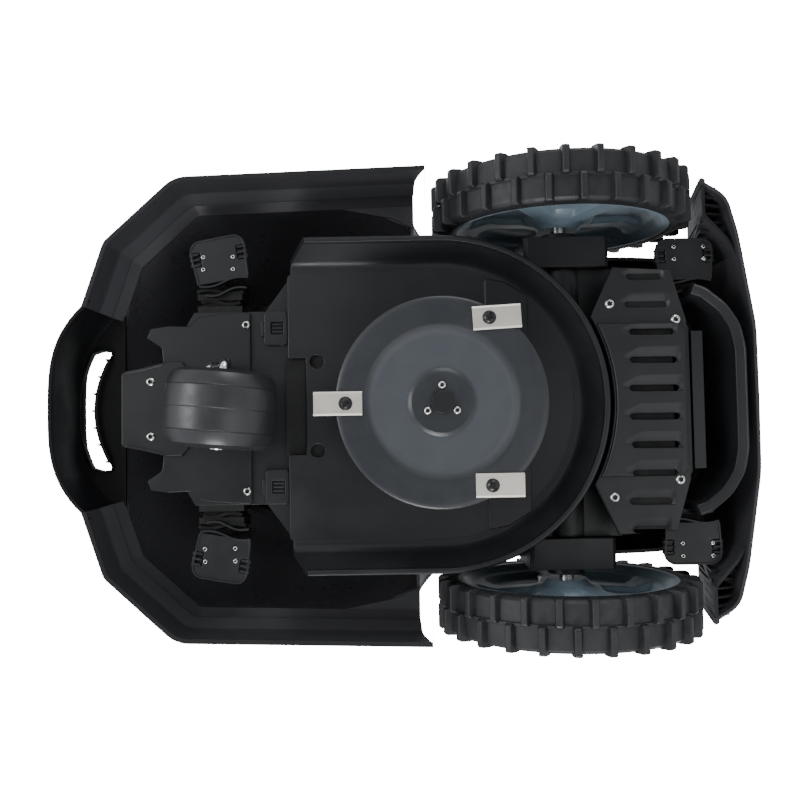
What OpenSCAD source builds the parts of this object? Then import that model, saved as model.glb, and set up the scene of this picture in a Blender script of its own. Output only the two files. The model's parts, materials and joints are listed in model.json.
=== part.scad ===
// Robotic lawn mower: two driven rear wheels, one front caster, a spinning disc
// with three swinging blades, and a shell that floats on the chassis.
// Millimetres. +Z up, ground at z = 0, the nose faces -Y, +X is the mower's left.

/* [Wheels] */
// Outside diameter of a drive wheel, over its lugs
wheel_d = 210; // [206:1:212]
// Width of a drive wheel's tread
wheel_w = 41; // [38:0.5:41.5]
// Distance from the middle plane to a wheel's inner face
wheel_in = 140.5; // [139.5:0.5:142]
// Position of the wheel axle, back from the middle
axle_y = 129.5; // [128:0.5:130]
// Lugs in each of the two rows round a tyre
lug_count = 26; // [20:1:30]
// Height of a lug
lug_h = 5.5; // [4:0.5:7]
// Diameter of the caster wheel
caster_d = 84; // [76:1:84]
// Width of the caster wheel
caster_w = 58; // [48:1:60]
// How far the caster wheel trails its swivel
caster_trail = 29; // [24:1:32]
// Angle that the caster stands turned to at rest
caster_turn = 5; // [-10:1:10]

/* [Cutting] */
// Radius of the blade disc
disc_r = 80; // [78:1:82]
// Radius of the blade screws round the disc
blade_screw_r = 72.5; // [71:0.5:73]
// Length of a blade
blade_l = 36.5; // [34:0.5:38]
// Width of a blade
blade_w = 18; // [16:0.5:20]
// Height of the disc's underside at rest
disc_z = 40; // [38:1:42]
// Middle of the disc, back from the middle of the mower
disc_y = 27.7; // [26:0.1:29]
// Outer radius of the deck's rim
deck_r = 131; // [128:1:132]

/* [Shell] */
// Half width of the shell at the rear of its skirt
shell_half = 186; // [184:1:187]
// Distance from the middle to the nose tip
nose_y = 276; // [274:1:276]
// Height of the skirt's lower edge
rim_z = 60; // [56:1:64]
// Height at which the skirt ends and the hood begins
hood_z = 115; // [112:1:118]
// Height of the hood's crown
crown_z = 244; // [242:1:246]
// Wall thickness of the shell
wall = 3; // [2:0.5:3]
// Radius of the wheel arches
arch_r = 120; // [119:0.5:122]

/* [Controls] */
// Diameter of the stop button
stop_d = 46; // [40:1:48]
// Diameter of the cutting height knob
knob_d = 31; // [28:1:34]

/* [Hidden] */
$fn = 48;
eps = 0.01;
run = 0.05;
wheel_r = wheel_d / 2;
tread_r = wheel_r - lug_h;
hub_r = 88.5;
axle_r = 6;
caster_r = caster_d / 2;
caster_y = -168;
rod_r = 3.5;
floor_z = 92;
seam_z = 150;
lid_z = 206;
deck_z = 82;
deck_front = -93;
deck_plate = 3;
motor_r = 30;
motor_tube_r = 16;
guide_x = 46;
knob_y = -36;
stop_y = 93;
panel_z = 239;
hinge_y = -59;
hinge_z = 251;
rear_y = 276;
post_y = [-149, 231];
post_x = [113, 115];
dark = [0.09, 0.09, 0.10];
mid = [0.16, 0.165, 0.18];
steel = [0.75, 0.74, 0.71];
rubber = [0.12, 0.12, 0.13];

// ---------- shared shapes ----------

// A polygon given for x >= 0 only, front to rear, made whole by its mirror image.
function both(half) =
    concat(half, [for (i = [len(half) - 1:-1:0]) [-half[i][0], half[i][1]]]);

module plate(half, z0, z1) {
    translate([0, 0, z0]) linear_extrude(z1 - z0) polygon(both(half));
}

module round_box(size, r, z0, z1) {
    translate([0, 0, z0]) linear_extrude(z1 - z0)
        for (turn = [0, 90])
            intersection() {
                square(size, center = true);
                union() {
                    square([size[0] - 2 * r, size[1]], center = true);
                    square([size[0], size[1] - 2 * r], center = true);
                    for (sx = [-1, 1], sy = [-1, 1])
                        translate([sx * (size[0] / 2 - r), sy * (size[1] / 2 - r)]) circle(r);
                }
            }
}

module both_sides() {
    children();
    mirror([1, 0, 0]) children();
}

// A shaft along X between two distances from the middle plane.
module cross_shaft(r, x0, x1, y, z) {
    translate([x0, y, z]) rotate([0, 90, 0]) cylinder(r = r, h = x1 - x0);
}

module rod(a, b, r) {
    v = b - a;
    l = norm(v);
    translate(a) rotate([0, acos(v[2] / l), atan2(v[1], v[0])]) cylinder(r = r, h = l, $fn = 24);
}

// A pan-head screw whose head points down.
module screw(x, y, z, head_r, length) {
    translate([x, y, z]) {
        difference() {
            cylinder(r = head_r, h = head_r * 0.55);
            translate([0, 0, -eps]) cylinder(r = head_r * 0.45, h = head_r * 0.3, $fn = 6);
        }
        cylinder(r = head_r * 0.5, h = length);
    }
}

// ---------- plan outlines ----------

nose_half = 80;
nose_drop = 26;

// The nose is a flat-fronted curve: nearly straight, then turning back at its ends.
function nose_line(inset, half = nose_half) = [for (i = [0:10])
    let (x = half * i / 10)
    [x, -nose_y + inset + nose_drop * pow(x / half, 3.2)]];

// Half outline of the shell's front part, from the nose's end to the wheel arch.
skirt_line = [
    [80, -250], [88, -247], [118, -239], [128, -233], [134, -226], [171, -186],
    [178, -175], [182, -162], [184, -145], [shell_half, 22]
];

// Half outline of the hood's foot: behind the handle slot, then just inside the skirt's
// shoulder, then curving in to the waist between the wheels.
hood_line = [
    [50, -238], [86, -233], [114, -226], [127, -217], [163, -178], [170, -160], [171, -140],
    [171, -60], [166, -25], [152, 12], [132, 55]
];

module front_plan() {
    polygon(both(hood_line));
}

// One level of the hood: the foot drawn in by inset, then shortened towards the waist.
module level(z, inset, shorten) {
    translate([0, 22, z]) scale([1, shorten, 1]) translate([0, -22, 0])
        linear_extrude(0.2) offset(r = 12, $fn = 32) offset(delta = -inset - 12) front_plan();
}

module spine_level(z, half, front, rear) {
    translate([0, (front + rear) / 2, 0]) round_box([2 * half, rear - front], 26, z, z + 0.2);
}

// The solid that the hood's outside bounds, drawn in by t for its inside.
module hood_body(t) {
    bottom = t > 0 ? -1 : 0;
    hull() {
        level(hood_z + bottom, t, 1);
        level(150, 6 + t, 0.97);
        level(190 - t * 0.4, 20 + t, 0.91);
        level(221 - t * 0.8, 44 + t, 0.83);
        level(238 - t, 74 + t, 0.73);
        level(crown_z - 0.2 - t, 98 + t, 0.65);
    }
    hull() {
        spine_level(158 + 3 * bottom, 132 - t, -60, 268 - t);
        spine_level(196, 128 - t, -60, 256 - t);
        spine_level(222 - t * 0.8, 113 - t, -60, 226 - t);
        spine_level(237 - t, 84 - t, -60, 184 - t);
        spine_level(crown_z - 0.2 - t, 62 - t, -60, 150 - t);
    }
}

// The space that each wheel needs, from inside its inner face outwards.
module wheel_space(r) {
    both_sides() cross_shaft(r, 133.5, 220, axle_y, wheel_r);
}

module console_plan(grow) {
    translate([0, 30, 0]) round_box([120 + 2 * grow, 190 + 2.4 * grow], 34 + grow, 200, 280);
}

// ---------- chassis ----------

tub_line = [
    [27, -211], [30, -197], [50, -192], [64, -187], [66, -177], [78, -170], [78, -112],
    [108, -90], [108, 172], [90, 196], [90, 226]
];
tub_inner = [
    [24, -208], [27, -194], [48.5, -189], [61, -184.4], [63.2, -174.8], [75, -168], [75, -110.6],
    [105, -88.4], [105, 171], [87, 194.8], [87, 223]
];

module chassis_tub() {
    color(dark) difference() {
        union() {
            difference() {
                plate(tub_line, floor_z, seam_z);
                plate(tub_inner, floor_z + 3, seam_z + 1);
            }
            translate([0, caster_y, floor_z]) cylinder(r = 14, h = 48);
            both_sides() {
                translate([guide_x, disc_y, floor_z]) cylinder(r = 8, h = 4);
                cross_shaft(motor_tube_r + 2.3, 50, 107, axle_y, wheel_r);
            }
            plate([[70, 166], [96, 180], [82, 208], [56, 222]], 66, floor_z + 1);
        }
        translate([0, caster_y, floor_z - 1]) cylinder(r = 8, h = 60);
        translate([0, disc_y, floor_z - 1]) cylinder(r = motor_r + 3, h = 10);
        both_sides() cross_shaft(motor_tube_r + 0.3, 48, 112, axle_y, wheel_r);
        both_sides() translate([guide_x, disc_y, floor_z + 2]) cylinder(r = 4 + run, h = 10);
        plate([[67, 169.5], [92, 181], [80, 205.5], [54, 219]], 65, floor_z + 4);
        both_sides() for (p = cover_screws) translate([p[0], p[1], 60]) cylinder(r = 2.2, h = 12);
    }
}

module chassis_lid() {
    color(dark) difference() {
        union() {
            plate(tub_line, seam_z + 1.5, seam_z + 5);
            hull() {
                plate(tub_inner, seam_z + 4, seam_z + 4.1);
                plate([[30, -148], [62, -122], [64, -80], [92, -60], [92, 160], [72, 186], [60, 190]],
                    lid_z - 1, lid_z);
            }
        }
        hull() {
            plate([[21, -204], [59, -181], [72, -166], [101, -86], [101, 168], [84, 192], [84, 219]],
                seam_z, seam_z + 1);
            plate([[29, -144], [59, -119], [61, -78], [89, -58], [89, 158], [70, 183], [58, 187]],
                lid_z - 4, lid_z - 3);
        }
        translate([0, 8, 0]) round_box([96, 110], 16, lid_z - 10, lid_z + 1);
        translate([0, stop_y, lid_z - 10]) cylinder(r = 14, h = 12);
    }
}

module tub_gasket() {
    color(rubber) difference() {
        plate(tub_line, seam_z, seam_z + 1.5);
        plate(tub_inner, seam_z - 1, seam_z + 3);
    }
}

module front_plate() {
    color(dark) difference() {
        plate([[26, -197], [39, -195], [49.5, -196], [57.5, -208], [65.3, -205], [67.3, -190],
               [66.5, -172], [73.5, -166], [76, -150], [77.5, -124]], floor_z - 3, floor_z);
        translate([0, caster_y, floor_z - 4]) cylinder(r = 9, h = 6);
        both_sides() translate([67, -127.5, floor_z - 4]) cylinder(r = 2.2, h = 6);
    }
}

module latch_doors() {
    color(mid) both_sides() difference() {
        translate([64, -103.5, 0]) round_box([28, 19], 2, floor_z - 2.5, floor_z);
        translate([64, -103.5, 0]) round_box([11, 9], 1.5, floor_z - 3, floor_z - 1);
    }
}

module caster_bracket() {
    color(dark) difference() {
        union() {
            plate([[29.7, -227.8], [33, -210], [37, -193], [37, -181], [30, -176]],
                floor_z - 6, floor_z - 3);
            plate([[26, -224], [26, -198]], floor_z - 3.5, floor_z);
        }
        both_sides() translate([22, -204, floor_z - 12]) cylinder(r = 2.2, h = 20);
    }
}

module caster_bush() {
    color(steel) translate([0, caster_y, floor_z]) difference() {
        cylinder(r = 8, h = 46);
        translate([0, 0, -1]) cylinder(r = rod_r + run, h = 60);
    }
}

module battery_pack() {
    color([0.2, 0.3, 0.42]) translate([0, -106, 0]) {
        round_box([132, 84], 6, floor_z + 4, floor_z + 46);
        translate([0, -20, 0]) round_box([40, 12], 3, floor_z + 46, floor_z + 50);
    }
}

module main_board() {
    color([0.05, 0.32, 0.18]) difference() {
        translate([0, 30, 0]) round_box([150, 170], 4, 168, 169.6);
        translate([0, knob_y, 160]) cylinder(r = 6, h = 20);
        translate([0, disc_y, 160]) cylinder(r = motor_r + 3, h = 20);
        both_sides() translate([guide_x, disc_y, 160]) cylinder(r = 6, h = 20);
    }
    color("black") for (x = [-58, 50]) translate([x, 100, 169.6]) cube([14, 18, 10]);
}

// Section of the deck's flaring wall: distance from the middle, and height.
deck_wall = [
    [deck_r - 3, 58], [deck_r, 58], [deck_r, 62], [deck_r - 15, deck_z + deck_plate],
    [deck_r - 22, deck_z + deck_plate], [deck_r - 22, deck_z], [deck_r - 18, deck_z],
    [deck_r - 3, 61]
];

module deck_skirt() {
    color(dark) difference() {
        union() {
            translate([0, disc_y, 0]) rotate_extrude(angle = 180, $fn = 96) polygon(deck_wall);
            both_sides() translate([0, disc_y, 0]) rotate([90, 0, 0])
                linear_extrude(disc_y - deck_front - 16) polygon(deck_wall);
            translate([0, disc_y, deck_z]) rotate_extrude(angle = 180, $fn = 96)
                square([deck_r - 20, deck_plate]);
            plate([[deck_r - 24, deck_front], [deck_r - 20, deck_front + 4], [deck_r - 20, disc_y]],
                deck_z, deck_z + deck_plate);
            both_sides() translate([70, 20, deck_z + deck_plate]) cylinder(r = 7, h = floor_z - 85);
            both_sides() translate([70, -60, deck_z + deck_plate]) cylinder(r = 7, h = floor_z - 85);
            plate([[100, 65], [97, 82], [86, 99]], deck_z - 3, deck_z + 1);
        }
        translate([0, disc_y, deck_z - 10]) cylinder(r = motor_r + 3, h = 20);
        for (x = [-35.5, 35.5]) translate([x, -70, deck_z - 1]) cylinder(r = 5, h = 6);
        translate([-38.5, -96, deck_z - 1]) cube([77, 17, 6]);
    }
}

module lift_guides() {
    color(steel) both_sides() translate([guide_x, disc_y, floor_z + 2]) cylinder(r = 4, h = 96);
}

louvre_pitch = 21.8;
cover_screws = [[75, 160], [62, 211]];

module rear_cover() {
    color(dark) difference() {
        union() {
            plate([[66, 150], [104, 163], [101, 208], [62, 219.5]], 62, 66);
            translate([0, 185, 0]) round_box([118, 64], 8, 58, 62.5);
        }
        translate([0, disc_y, 50]) cylinder(r = deck_r + 3, h = 30, $fn = 96);
        for (k = [0:3], s = [-1, 1])
            translate([s * (k + 0.5) * louvre_pitch, 191, 0])
                round_box([7, 40 - (k == 3 ? 8 : 0)], 3, 55, 64);
        both_sides() for (p = cover_screws) translate([p[0], p[1], 50]) {
            cylinder(r = 2.2, h = 20);
            cylinder(r = 5, h = 12);
        }
    }
}

module gearbox() {
    difference() {
        union() {
            translate([108.2, 0, 0]) rotate([0, 90, 0]) linear_extrude(24.4)
                translate([-115, 131]) polygon([[-35, -26], [-27, -34], [32, -34], [35, -31],
                    [35, 31], [32, 34], [-27, 34], [-35, 26]]);
            cross_shaft(15, 108.2, 138, axle_y, wheel_r);
        }
        cross_shaft(axle_r + run, 100, 145, axle_y, wheel_r);
    }
}

module drive_motor() {
    cross_shaft(motor_tube_r, 62, 108, axle_y, wheel_r);
    cross_shaft(10, 52, 62, axle_y, wheel_r);
}

// The rounded U-shaped wall round the recess at the rear, open below.
module dock_rim() {
    outer = [[90, 226], [88, 234], [82, 243], [74, 251], [65, 257.5], [54, 262.5], [40, 265],
        [0, 265]];
    inner = [[79, 225], [78, 233], [73, 240], [66, 246.5], [57, 252], [49, 255], [39, 256.6],
        [0, 256.6]];
    color(dark) difference() {
        plate(outer, 60, 132);
        plate(inner, 59, 128);
    }
}

module contact_block() {
    color(mid) translate([0, 229, 0]) difference() {
        translate([-54, -3, 72]) cube([108, 9, 44]);
        both_sides() translate([14, 4, 80]) cube([12, 4, 26]);
    }
}

module charge_contacts() {
    color([0.8, 0.62, 0.3]) both_sides() translate([14, 233, 80]) cube([12, 3.5, 26]);
}

module chassis_screws() {
    color(steel) both_sides() {
        for (p = cover_screws) screw(p[0], p[1], 59.85, 3.8, 10);
        screw(67, -127.5, floor_z - 5, 3.4, 4.9);
        screw(22, -204, floor_z - 7.95, 3.4, 7.9);
    }
}

module boot(x, y, reach) {
    translate([x, y, 0]) for (k = [0:3])
        translate([k * reach / 4, -(k % 2 == 0 ? 18 : 15), 96 - (k % 2 == 0 ? 4 : 0)])
            cube([reach / 4 + (k < 3 ? eps : 0), k % 2 == 0 ? 36 : 30, k % 2 == 0 ? 30 : 22]);
}

module suspension_boots() {
    color(rubber) both_sides() {
        boot(78, post_y[0], 20);
        boot(90, post_y[1] - 14, 6);
    }
}

// ---------- console on top of the chassis ----------

key_x = [-26, 0, 26];
key_y = -2;

module console() {
    color(dark) difference() {
        union() {
            difference() {
                console_plan(0);
                translate([0, 0, 247.5]) linear_extrude(60) square(400, center = true);
                translate([0, 0, 150]) linear_extrude(lid_z - 150) square(400, center = true);
            }
            translate([0, stop_y, 240]) cylinder(r = stop_d / 2 + 7, h = 12);
            both_sides() translate([26, hinge_y - 3, 240]) cube([9, 6, hinge_z - 240 + 3]);
        }
        intersection() {
            console_plan(-3);
            translate([-80, -80, lid_z - 1]) cube([160, 240, panel_z - 3 - lid_z + 1]);
        }
        translate([0, 4, 0]) round_box([102, 112], 20, panel_z, 260);
        translate([0, stop_y, lid_z]) cylinder(r = stop_d / 2 + 0.5, h = 60);
        translate([0, knob_y, lid_z]) cylinder(r = 3 + 0.6, h = 60);
        for (x = key_x) translate([x, key_y, lid_z]) cylinder(r = 6.3, h = 60);
        translate([0, 31, 0]) round_box([66, 34], 3, panel_z - 2, panel_z + 2);
        cross_shaft(1.5, -40, 40, hinge_y, hinge_z);
        translate([-24.5, hinge_y - 9, 245]) cube([49, 18, 20]);
    }
}

module display_screen() {
    color([0.05, 0.09, 0.1]) translate([0, 31, 0]) round_box([65.4, 33.4], 2.7, panel_z - 2, panel_z);
}

module lid_pin() {
    color(steel) cross_shaft(1.5, -35, 35, hinge_y, hinge_z);
}

// ---------- floating suspension ----------

module at_posts() {
    for (i = [0, 1]) both_sides() translate([post_x[i], post_y[i], 0]) children();
}

module suspension_caps() {
    color(dark) difference() {
        union() {
            both_sides() translate([120, -148, 0]) rotate(-10) round_box([36, 46], 8, 86, 90);
            both_sides() translate([114, 227.5, 0]) round_box([34, 47], 7, 86, 90);
            at_posts() translate([0, 0, 90]) cylinder(r = 7, h = 4);
        }
        at_posts() {
            translate([0, 0, 85]) cylinder(r = 4 + run, h = 20);
            for (sy = [-1, 1]) translate([1, sy * 18 - 2, 85]) cube([7, 5, 8]);
        }
    }
}

module joystick_rods() {
    color(steel) at_posts() translate([0, 0, 86.5]) cylinder(r = 4, h = 63);
}

module cap_screws() {
    color(steel) at_posts() for (sx = [-1, 1], sy = [-1, 1])
        screw(4 + sx * 5, sy * 12, 84.6, 1.9, 1.4);
}

// ---------- shell ----------

module hood() {
    color(dark) difference() {
        hood_body(0);
        difference() {
            hood_body(wall);
            both_sides() cross_shaft(arch_r + 2.5, 131, 220, axle_y, wheel_r);
        }
        wheel_space(arch_r);
        console_plan(9);
        translate([-126, 40, 100]) cube([252, 30, 62]);
    }
}

module shell_posts() {
    color(mid) difference() {
        intersection() {
            at_posts() translate([0, 0, 104]) cylinder(r = 9, h = 150);
            hood_body(wall);
        }
        at_posts() translate([0, 0, 100]) cylinder(r = 4 + run, h = 66);
    }
}

// Sweep of a section along a line: each corner is mitred, and both ends are closed.
function unit(v) = v / norm(v);
function inward(line, i) = let (
        last = len(line) - 1,
        a = unit(line[min(i + 1, last)] - line[min(i, last - 1)]),
        b = unit(line[max(i, 1)] - line[max(i - 1, 0)]),
        t = unit(a + b)
    ) [-t[1], t[0]] / (t * a);

module sweep(line, section) {
    n = len(section);
    m = len(line);
    points = [for (i = [0:m - 1], s = section)
        let (p = line[i] + inward(line, i) * s[0]) [p[0], p[1], s[1]]];
    walls = [for (i = [0:m - 2], k = [0:n - 1]) let (a = i * n + k, b = i * n + (k + 1) % n)
        each [[a, b, b + n], [a, b + n, a + n]]];
    polyhedron(points, concat(walls, [[for (k = [n - 1:-1:0]) k]],
        [[for (k = [0:n - 1]) (m - 1) * n + k]]));
}

// Distance in from the skirt's outline, and height: lip, upright band, then shoulder.
skirt_section = [
    [0, rim_z], [0, rim_z + 3], [2, 103], [15, 113], [15, hood_z - 0.3], [17, hood_z - 0.3],
    [18, 112], [5, 101.5], [3, rim_z + 4], [3, rim_z]
];

module skirt() {
    difference() {
        union() {
            sweep(skirt_line, skirt_section);
            translate([150, 17.5, rim_z]) cube([shell_half - 151.5, 4.5, hood_z - 0.3 - rim_z]);
            translate([0, 0, hood_z - 3]) linear_extrude(2.7) polygon([[170, -60], [182, -60],
                [182, 20], [149, 20], [152, 12], [166, -25]]);
        }
        wheel_space(arch_r);
    }
}

slot_half = 47;
slot_front = -268;
slot_rear = -256;

module nose_bumper() {
    inner = nose_line(3, nose_half - 3);
    deck_rear = -232;
    color(dark) difference() {
        union() {
            difference() {
                plate(concat(nose_line(0), [[nose_half, -240]]), rim_z, hood_z - 0.3);
                plate(concat(inner, [[nose_half - 3, -230]]), rim_z - 1, hood_z - 4);
            }
            plate([[nose_half, -244], [nose_half - 6, deck_rear]], hood_z - 4, hood_z - 0.3);
        }
        translate([0, 0, 90]) linear_extrude(60) polygon(both(concat(
            [for (i = [0:8]) let (x = slot_half * i / 8)
                [x, slot_front + 10 * pow(x / slot_half, 2.4)]],
            [for (i = [8:-1:0]) let (x = slot_half * i / 8)
                [x, slot_rear + 14 * pow(x / slot_half, 2)]])));
    }
}

module grip_strip() {
    color(rubber) {
        translate([0, 0, hood_z - 12]) linear_extrude(8) polygon(concat(
            [for (i = [-8:8]) [i * 5, slot_rear + 0.6 + 14 * pow(i * 5 / slot_half, 2)]],
            [for (i = [8:-1:-8]) [i * 5, slot_rear + 3 + 14 * pow(i * 5 / slot_half, 2)]]));
        for (k = [-2:2]) translate([k * 14, slot_rear + 14 * pow(k * 14 / slot_half, 2), hood_z - 12])
            translate([-1, -1.6, 0]) cube([2, 4.4, 8]);
    }
}

// Half outline of the rear bumper, from the middle to the wing's tip.
bumper_line = [
    [1, rear_y], [57, rear_y - 0.5], [85, rear_y - 4], [130, rear_y - 12], [154, rear_y - 18],
    [163, rear_y - 23], [170, rear_y - 31], [173, rear_y - 40]
];
bumper_inner = [
    [1, rear_y - 3], [57, rear_y - 3.5], [84.6, rear_y - 7], [129, rear_y - 15],
    [152.6, rear_y - 20.8], [160.6, rear_y - 25], [167, rear_y - 32.5], [170, rear_y - 40]
];

function backwards(line) = [for (i = [len(line) - 1:-1:0]) line[i]];

// The wings' front edges lean: this far back at the foot, and at the top.
tip_foot = rear_y - 40;
tip_top = rear_y - 21;

module along_x(x0, x1, side) {
    translate([x0, 0, 0]) rotate([90, 0, 90]) linear_extrude(x1 - x0) polygon(side);
}

module rear_bumper() {
    color(dark) difference() {
        union() {
            translate([0, 0, 66]) linear_extrude(92) polygon(concat(backwards(both(
                backwards(bumper_line))), both(backwards(bumper_inner))));
            both_sides() {
                along_x(145, 172, [[tip_foot, 66], [tip_foot + 2.6, 66], [tip_top + 2, 153.5],
                    [tip_top + 2, 156], [tip_top, 156]]);
                translate([0, 0, 153]) linear_extrude(3)
                    polygon([[162, rear_y - 24], [150, rear_y - 22], [145, rear_y - 22],
                        [112, rear_y - 9.6], [130, rear_y - 13.6], [153.5, rear_y - 19.5]]);
                translate([0, 0, 72]) linear_extrude(82)
                    polygon([[145, tip_foot + 2], [148, tip_foot + 2], [116, rear_y - 11],
                        [110, rear_y - 9.8]]);
                for (x = [150, 156.5, 163]) translate([0, 0, 76]) linear_extrude(78)
                    polygon([[x, tip_foot], [x + 1.6, tip_foot], [x + 1.6, rear_y - 10 - (x - 130) * 0.4],
                        [x, rear_y - 10 - (x - 130) * 0.4]]);
            }
            translate([0, 0, 153]) linear_extrude(4) difference() {
                polygon(both(concat([for (p = bumper_line) if (p[0] < 131) p - [0, 1.5]],
                    [[133, 254]])));
                polygon(both([[1, 262], [60, 262], [120, 252], [128, 240]]));
            }
        }
        both_sides() along_x(140, 180, [[tip_foot - 60, 60], [tip_foot - 1.2, 60],
            [tip_top + 0.4, 160], [tip_foot - 60, 160]]);
    }
}

module opening_trim() {
    color(mid) intersection() {
        difference() {
            console_plan(9);
            console_plan(6.4);
        }
        translate([-100, -100, crown_z - 6]) cube([200, 260, 7]);
    }
}

// ---------- controls ----------

module control_lid() {
    color(dark) difference() {
        union() {
            translate([0, 2.5, 0]) round_box([106, 116], 22, 248, 253);
            cross_shaft(4, -23.5, 23.5, hinge_y, hinge_z);
            translate([-23.5, hinge_y, 249]) cube([47, 8, 4]);
        }
        translate([0, 2.5, 0]) round_box([98, 104], 18, 247, 250);
        translate([0, 26, 0]) round_box([70, 40], 6, 246, 254);
        cross_shaft(1.5 + run, -60, 60, hinge_y, hinge_z);
        translate([-60, hinge_y - 20, 246]) cube([36.3, 26, 12]);
        translate([23.7, hinge_y - 20, 246]) cube([36.3, 26, 12]);
        translate([0, stop_y, 240]) cylinder(r = stop_d / 2 + 8, h = 20);
    }
}

module lid_window() {
    color([0.15, 0.17, 0.2, 0.5]) translate([0, 26, 0])
        round_box([69.9, 39.9], 6, 250, 253);
}

module stop_button() {
    color([0.72, 0.08, 0.06]) translate([0, stop_y, 0]) {
        translate([0, 0, 243]) cylinder(r = stop_d / 2, h = 14);
        translate([0, 0, 257]) cylinder(r1 = stop_d / 2, r2 = stop_d / 2 - 5, h = 4);
        translate([0, 0, 214]) cylinder(r = 7, h = 30);
    }
}

module key(i) {
    color(mid) translate([key_x[i], key_y, 0]) {
        translate([0, 0, panel_z - 5]) cylinder(r = 6, h = 7);
        translate([0, 0, panel_z - 8.5]) cylinder(r = 3, h = 4);
    }
}

module height_knob() {
    color(mid) translate([0, knob_y, panel_z + 0.4]) difference() {
        union() {
            cylinder(r = knob_d / 2 - 1.5, h = 7);
            for (a = [0:30:330]) rotate(a) translate([knob_d / 2 - 2.5, 0, 0])
                cylinder(r = 2.4, h = 7);
        }
        translate([0, 0, 4]) cylinder(r = 9, h = 4);
    }
    color(mid) translate([-1.5, knob_y - 9, panel_z + 4]) cube([3, 18, 3.4]);
}

module lift_spindle() {
    color(steel) translate([0, knob_y, 98]) cylinder(r = 3, h = panel_z + 0.4 - 98);
}

// ---------- cutting head ----------

module blade_motor() {
    color(mid) translate([0, disc_y, 0]) {
        translate([0, 0, 64]) cylinder(r = motor_r, h = 66);
        translate([0, 0, 57]) cylinder(r = 14, h = 8);
        translate([0, 0, 130]) cylinder(r = 10, h = 6);
    }
}

module head_carrier() {
    color(mid) difference() {
        union() {
            translate([0, disc_y, 112]) cylinder(r = motor_r + 5, h = 6);
            translate([-guide_x, disc_y - 8, 112]) cube([2 * guide_x, 16, 6]);
            both_sides() translate([guide_x, disc_y, 112]) cylinder(r = 8, h = 12);
            translate([-7, knob_y, 112]) cube([14, 40, 6]);
            translate([0, knob_y, 112]) cylinder(r = 7, h = 12);
        }
        translate([0, disc_y, 100]) cylinder(r = motor_r + run, h = 40);
        both_sides() translate([guide_x, disc_y, 100]) cylinder(r = 4 + run, h = 40);
        translate([0, knob_y, 100]) cylinder(r = 3 + run, h = 40);
    }
}

module blade_disc() {
    dish = [[0, disc_z + 1], [24, disc_z + 1], [26, disc_z + 2], [54, disc_z + 2], [57, disc_z],
        [disc_r - 1, disc_z], [disc_r, disc_z + 1], [disc_r, disc_z + 5], [56, disc_z + 7],
        [24, disc_z + 8], [0, disc_z + 8]];
    color(mid) difference() {
        union() {
            translate([0, disc_y, 0]) rotate_extrude($fn = 96) polygon(dish);
            translate([0, disc_y, disc_z + 7]) cylinder(r = 9, h = 9.5);
        }
        translate([0, disc_y, 0]) for (a = [30, 150, 270]) rotate(a)
            translate([blade_screw_r, 0, disc_z - 1]) cylinder(r = 3 + run, h = 10);
    }
}

module disc_cap() {
    color(dark) translate([0, disc_y, disc_z - 1.6]) cylinder(r = 8.2, h = 2.6);
}

module hub_screws() {
    color(steel) for (a = [0, 120, 240])
        screw(12.8 * cos(a), disc_y + 12.8 * sin(a), disc_z - 1, 2.9, 2);
}

blade_t = 1;
blade_z = disc_z - 1.4;
blade_tail = 12.5;

module blade_screws() {
    color(mid) translate([0, disc_y, 0]) for (a = [30, 150, 270]) rotate(a)
        translate([blade_screw_r, 0, 0]) difference() {
            union() {
                translate([0, 0, blade_z - 0.3]) cylinder(r = 3, h = 6);
                translate([0, 0, blade_z - 2.6]) cylinder(r = 5.2, h = 2.3);
            }
            translate([0, 0, blade_z - 3]) cylinder(r = 2.2, h = 1.8, $fn = 6);
        }
}

// A blade lies along +X from its screw before it is turned to where it rests.
module blade(angle, rest) {
    color(steel) translate([0, disc_y, 0]) rotate(angle) translate([blade_screw_r, 0, 0])
        rotate(rest - angle) difference() {
            translate([-blade_tail, -blade_w / 2, blade_z]) cube([blade_l, blade_w, blade_t]);
            translate([0, 0, blade_z - 1]) cylinder(r = 3 + run, h = 4);
        }
}

// ---------- wheels ----------

// Outline of one row of lugs: root, tip, tip, root, and so on round the tyre.
function lug_ring(phase) = [for (i = [0:lug_count - 1], k = [0:3])
    let (a = (i + phase) * 360 / lug_count + [-2.3, -1.4, 1.4, 2.3][k],
         r = k == 1 || k == 2 ? wheel_r / cos(1.4) : tread_r)
    [r * cos(a), r * sin(a)]];

module tyre() {
    translate([wheel_in, axle_y, wheel_r]) rotate([0, 90, 0]) difference() {
        union() {
            linear_extrude(wheel_w / 2) polygon(lug_ring(0));
            translate([0, 0, wheel_w / 2]) linear_extrude(wheel_w / 2) polygon(lug_ring(0.5));
        }
        translate([0, 0, -1]) cylinder(r = hub_r, h = wheel_w + 2, $fn = 96);
    }
}

module hub() {
    profile = [[axle_r, 2], [16, 2], [20, 8], [60, 14], [82, 4], [84, 1.5], [hub_r, 1.5],
        [hub_r, wheel_w - 1.5], [84, wheel_w - 1.5], [82, wheel_w - 6], [60, 20], [24, 22],
        [20, 36], [axle_r, 36]];
    translate([wheel_in, axle_y, wheel_r]) rotate([0, 90, 0]) difference() {
        rotate_extrude($fn = 96) polygon(profile);
        for (a = [0:72:288]) rotate(a) translate([44, 0, -1]) cylinder(r = 11, h = 12.5);
    }
}

module axle() {
    cross_shaft(axle_r, 109, wheel_in + 36, axle_y, wheel_r);
    cross_shaft(9, wheel_in + 36, wheel_in + 40, axle_y, wheel_r);
}

// ---------- caster ----------

module in_caster() {
    translate([0, caster_y, 0]) rotate(caster_turn) children();
}

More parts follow.
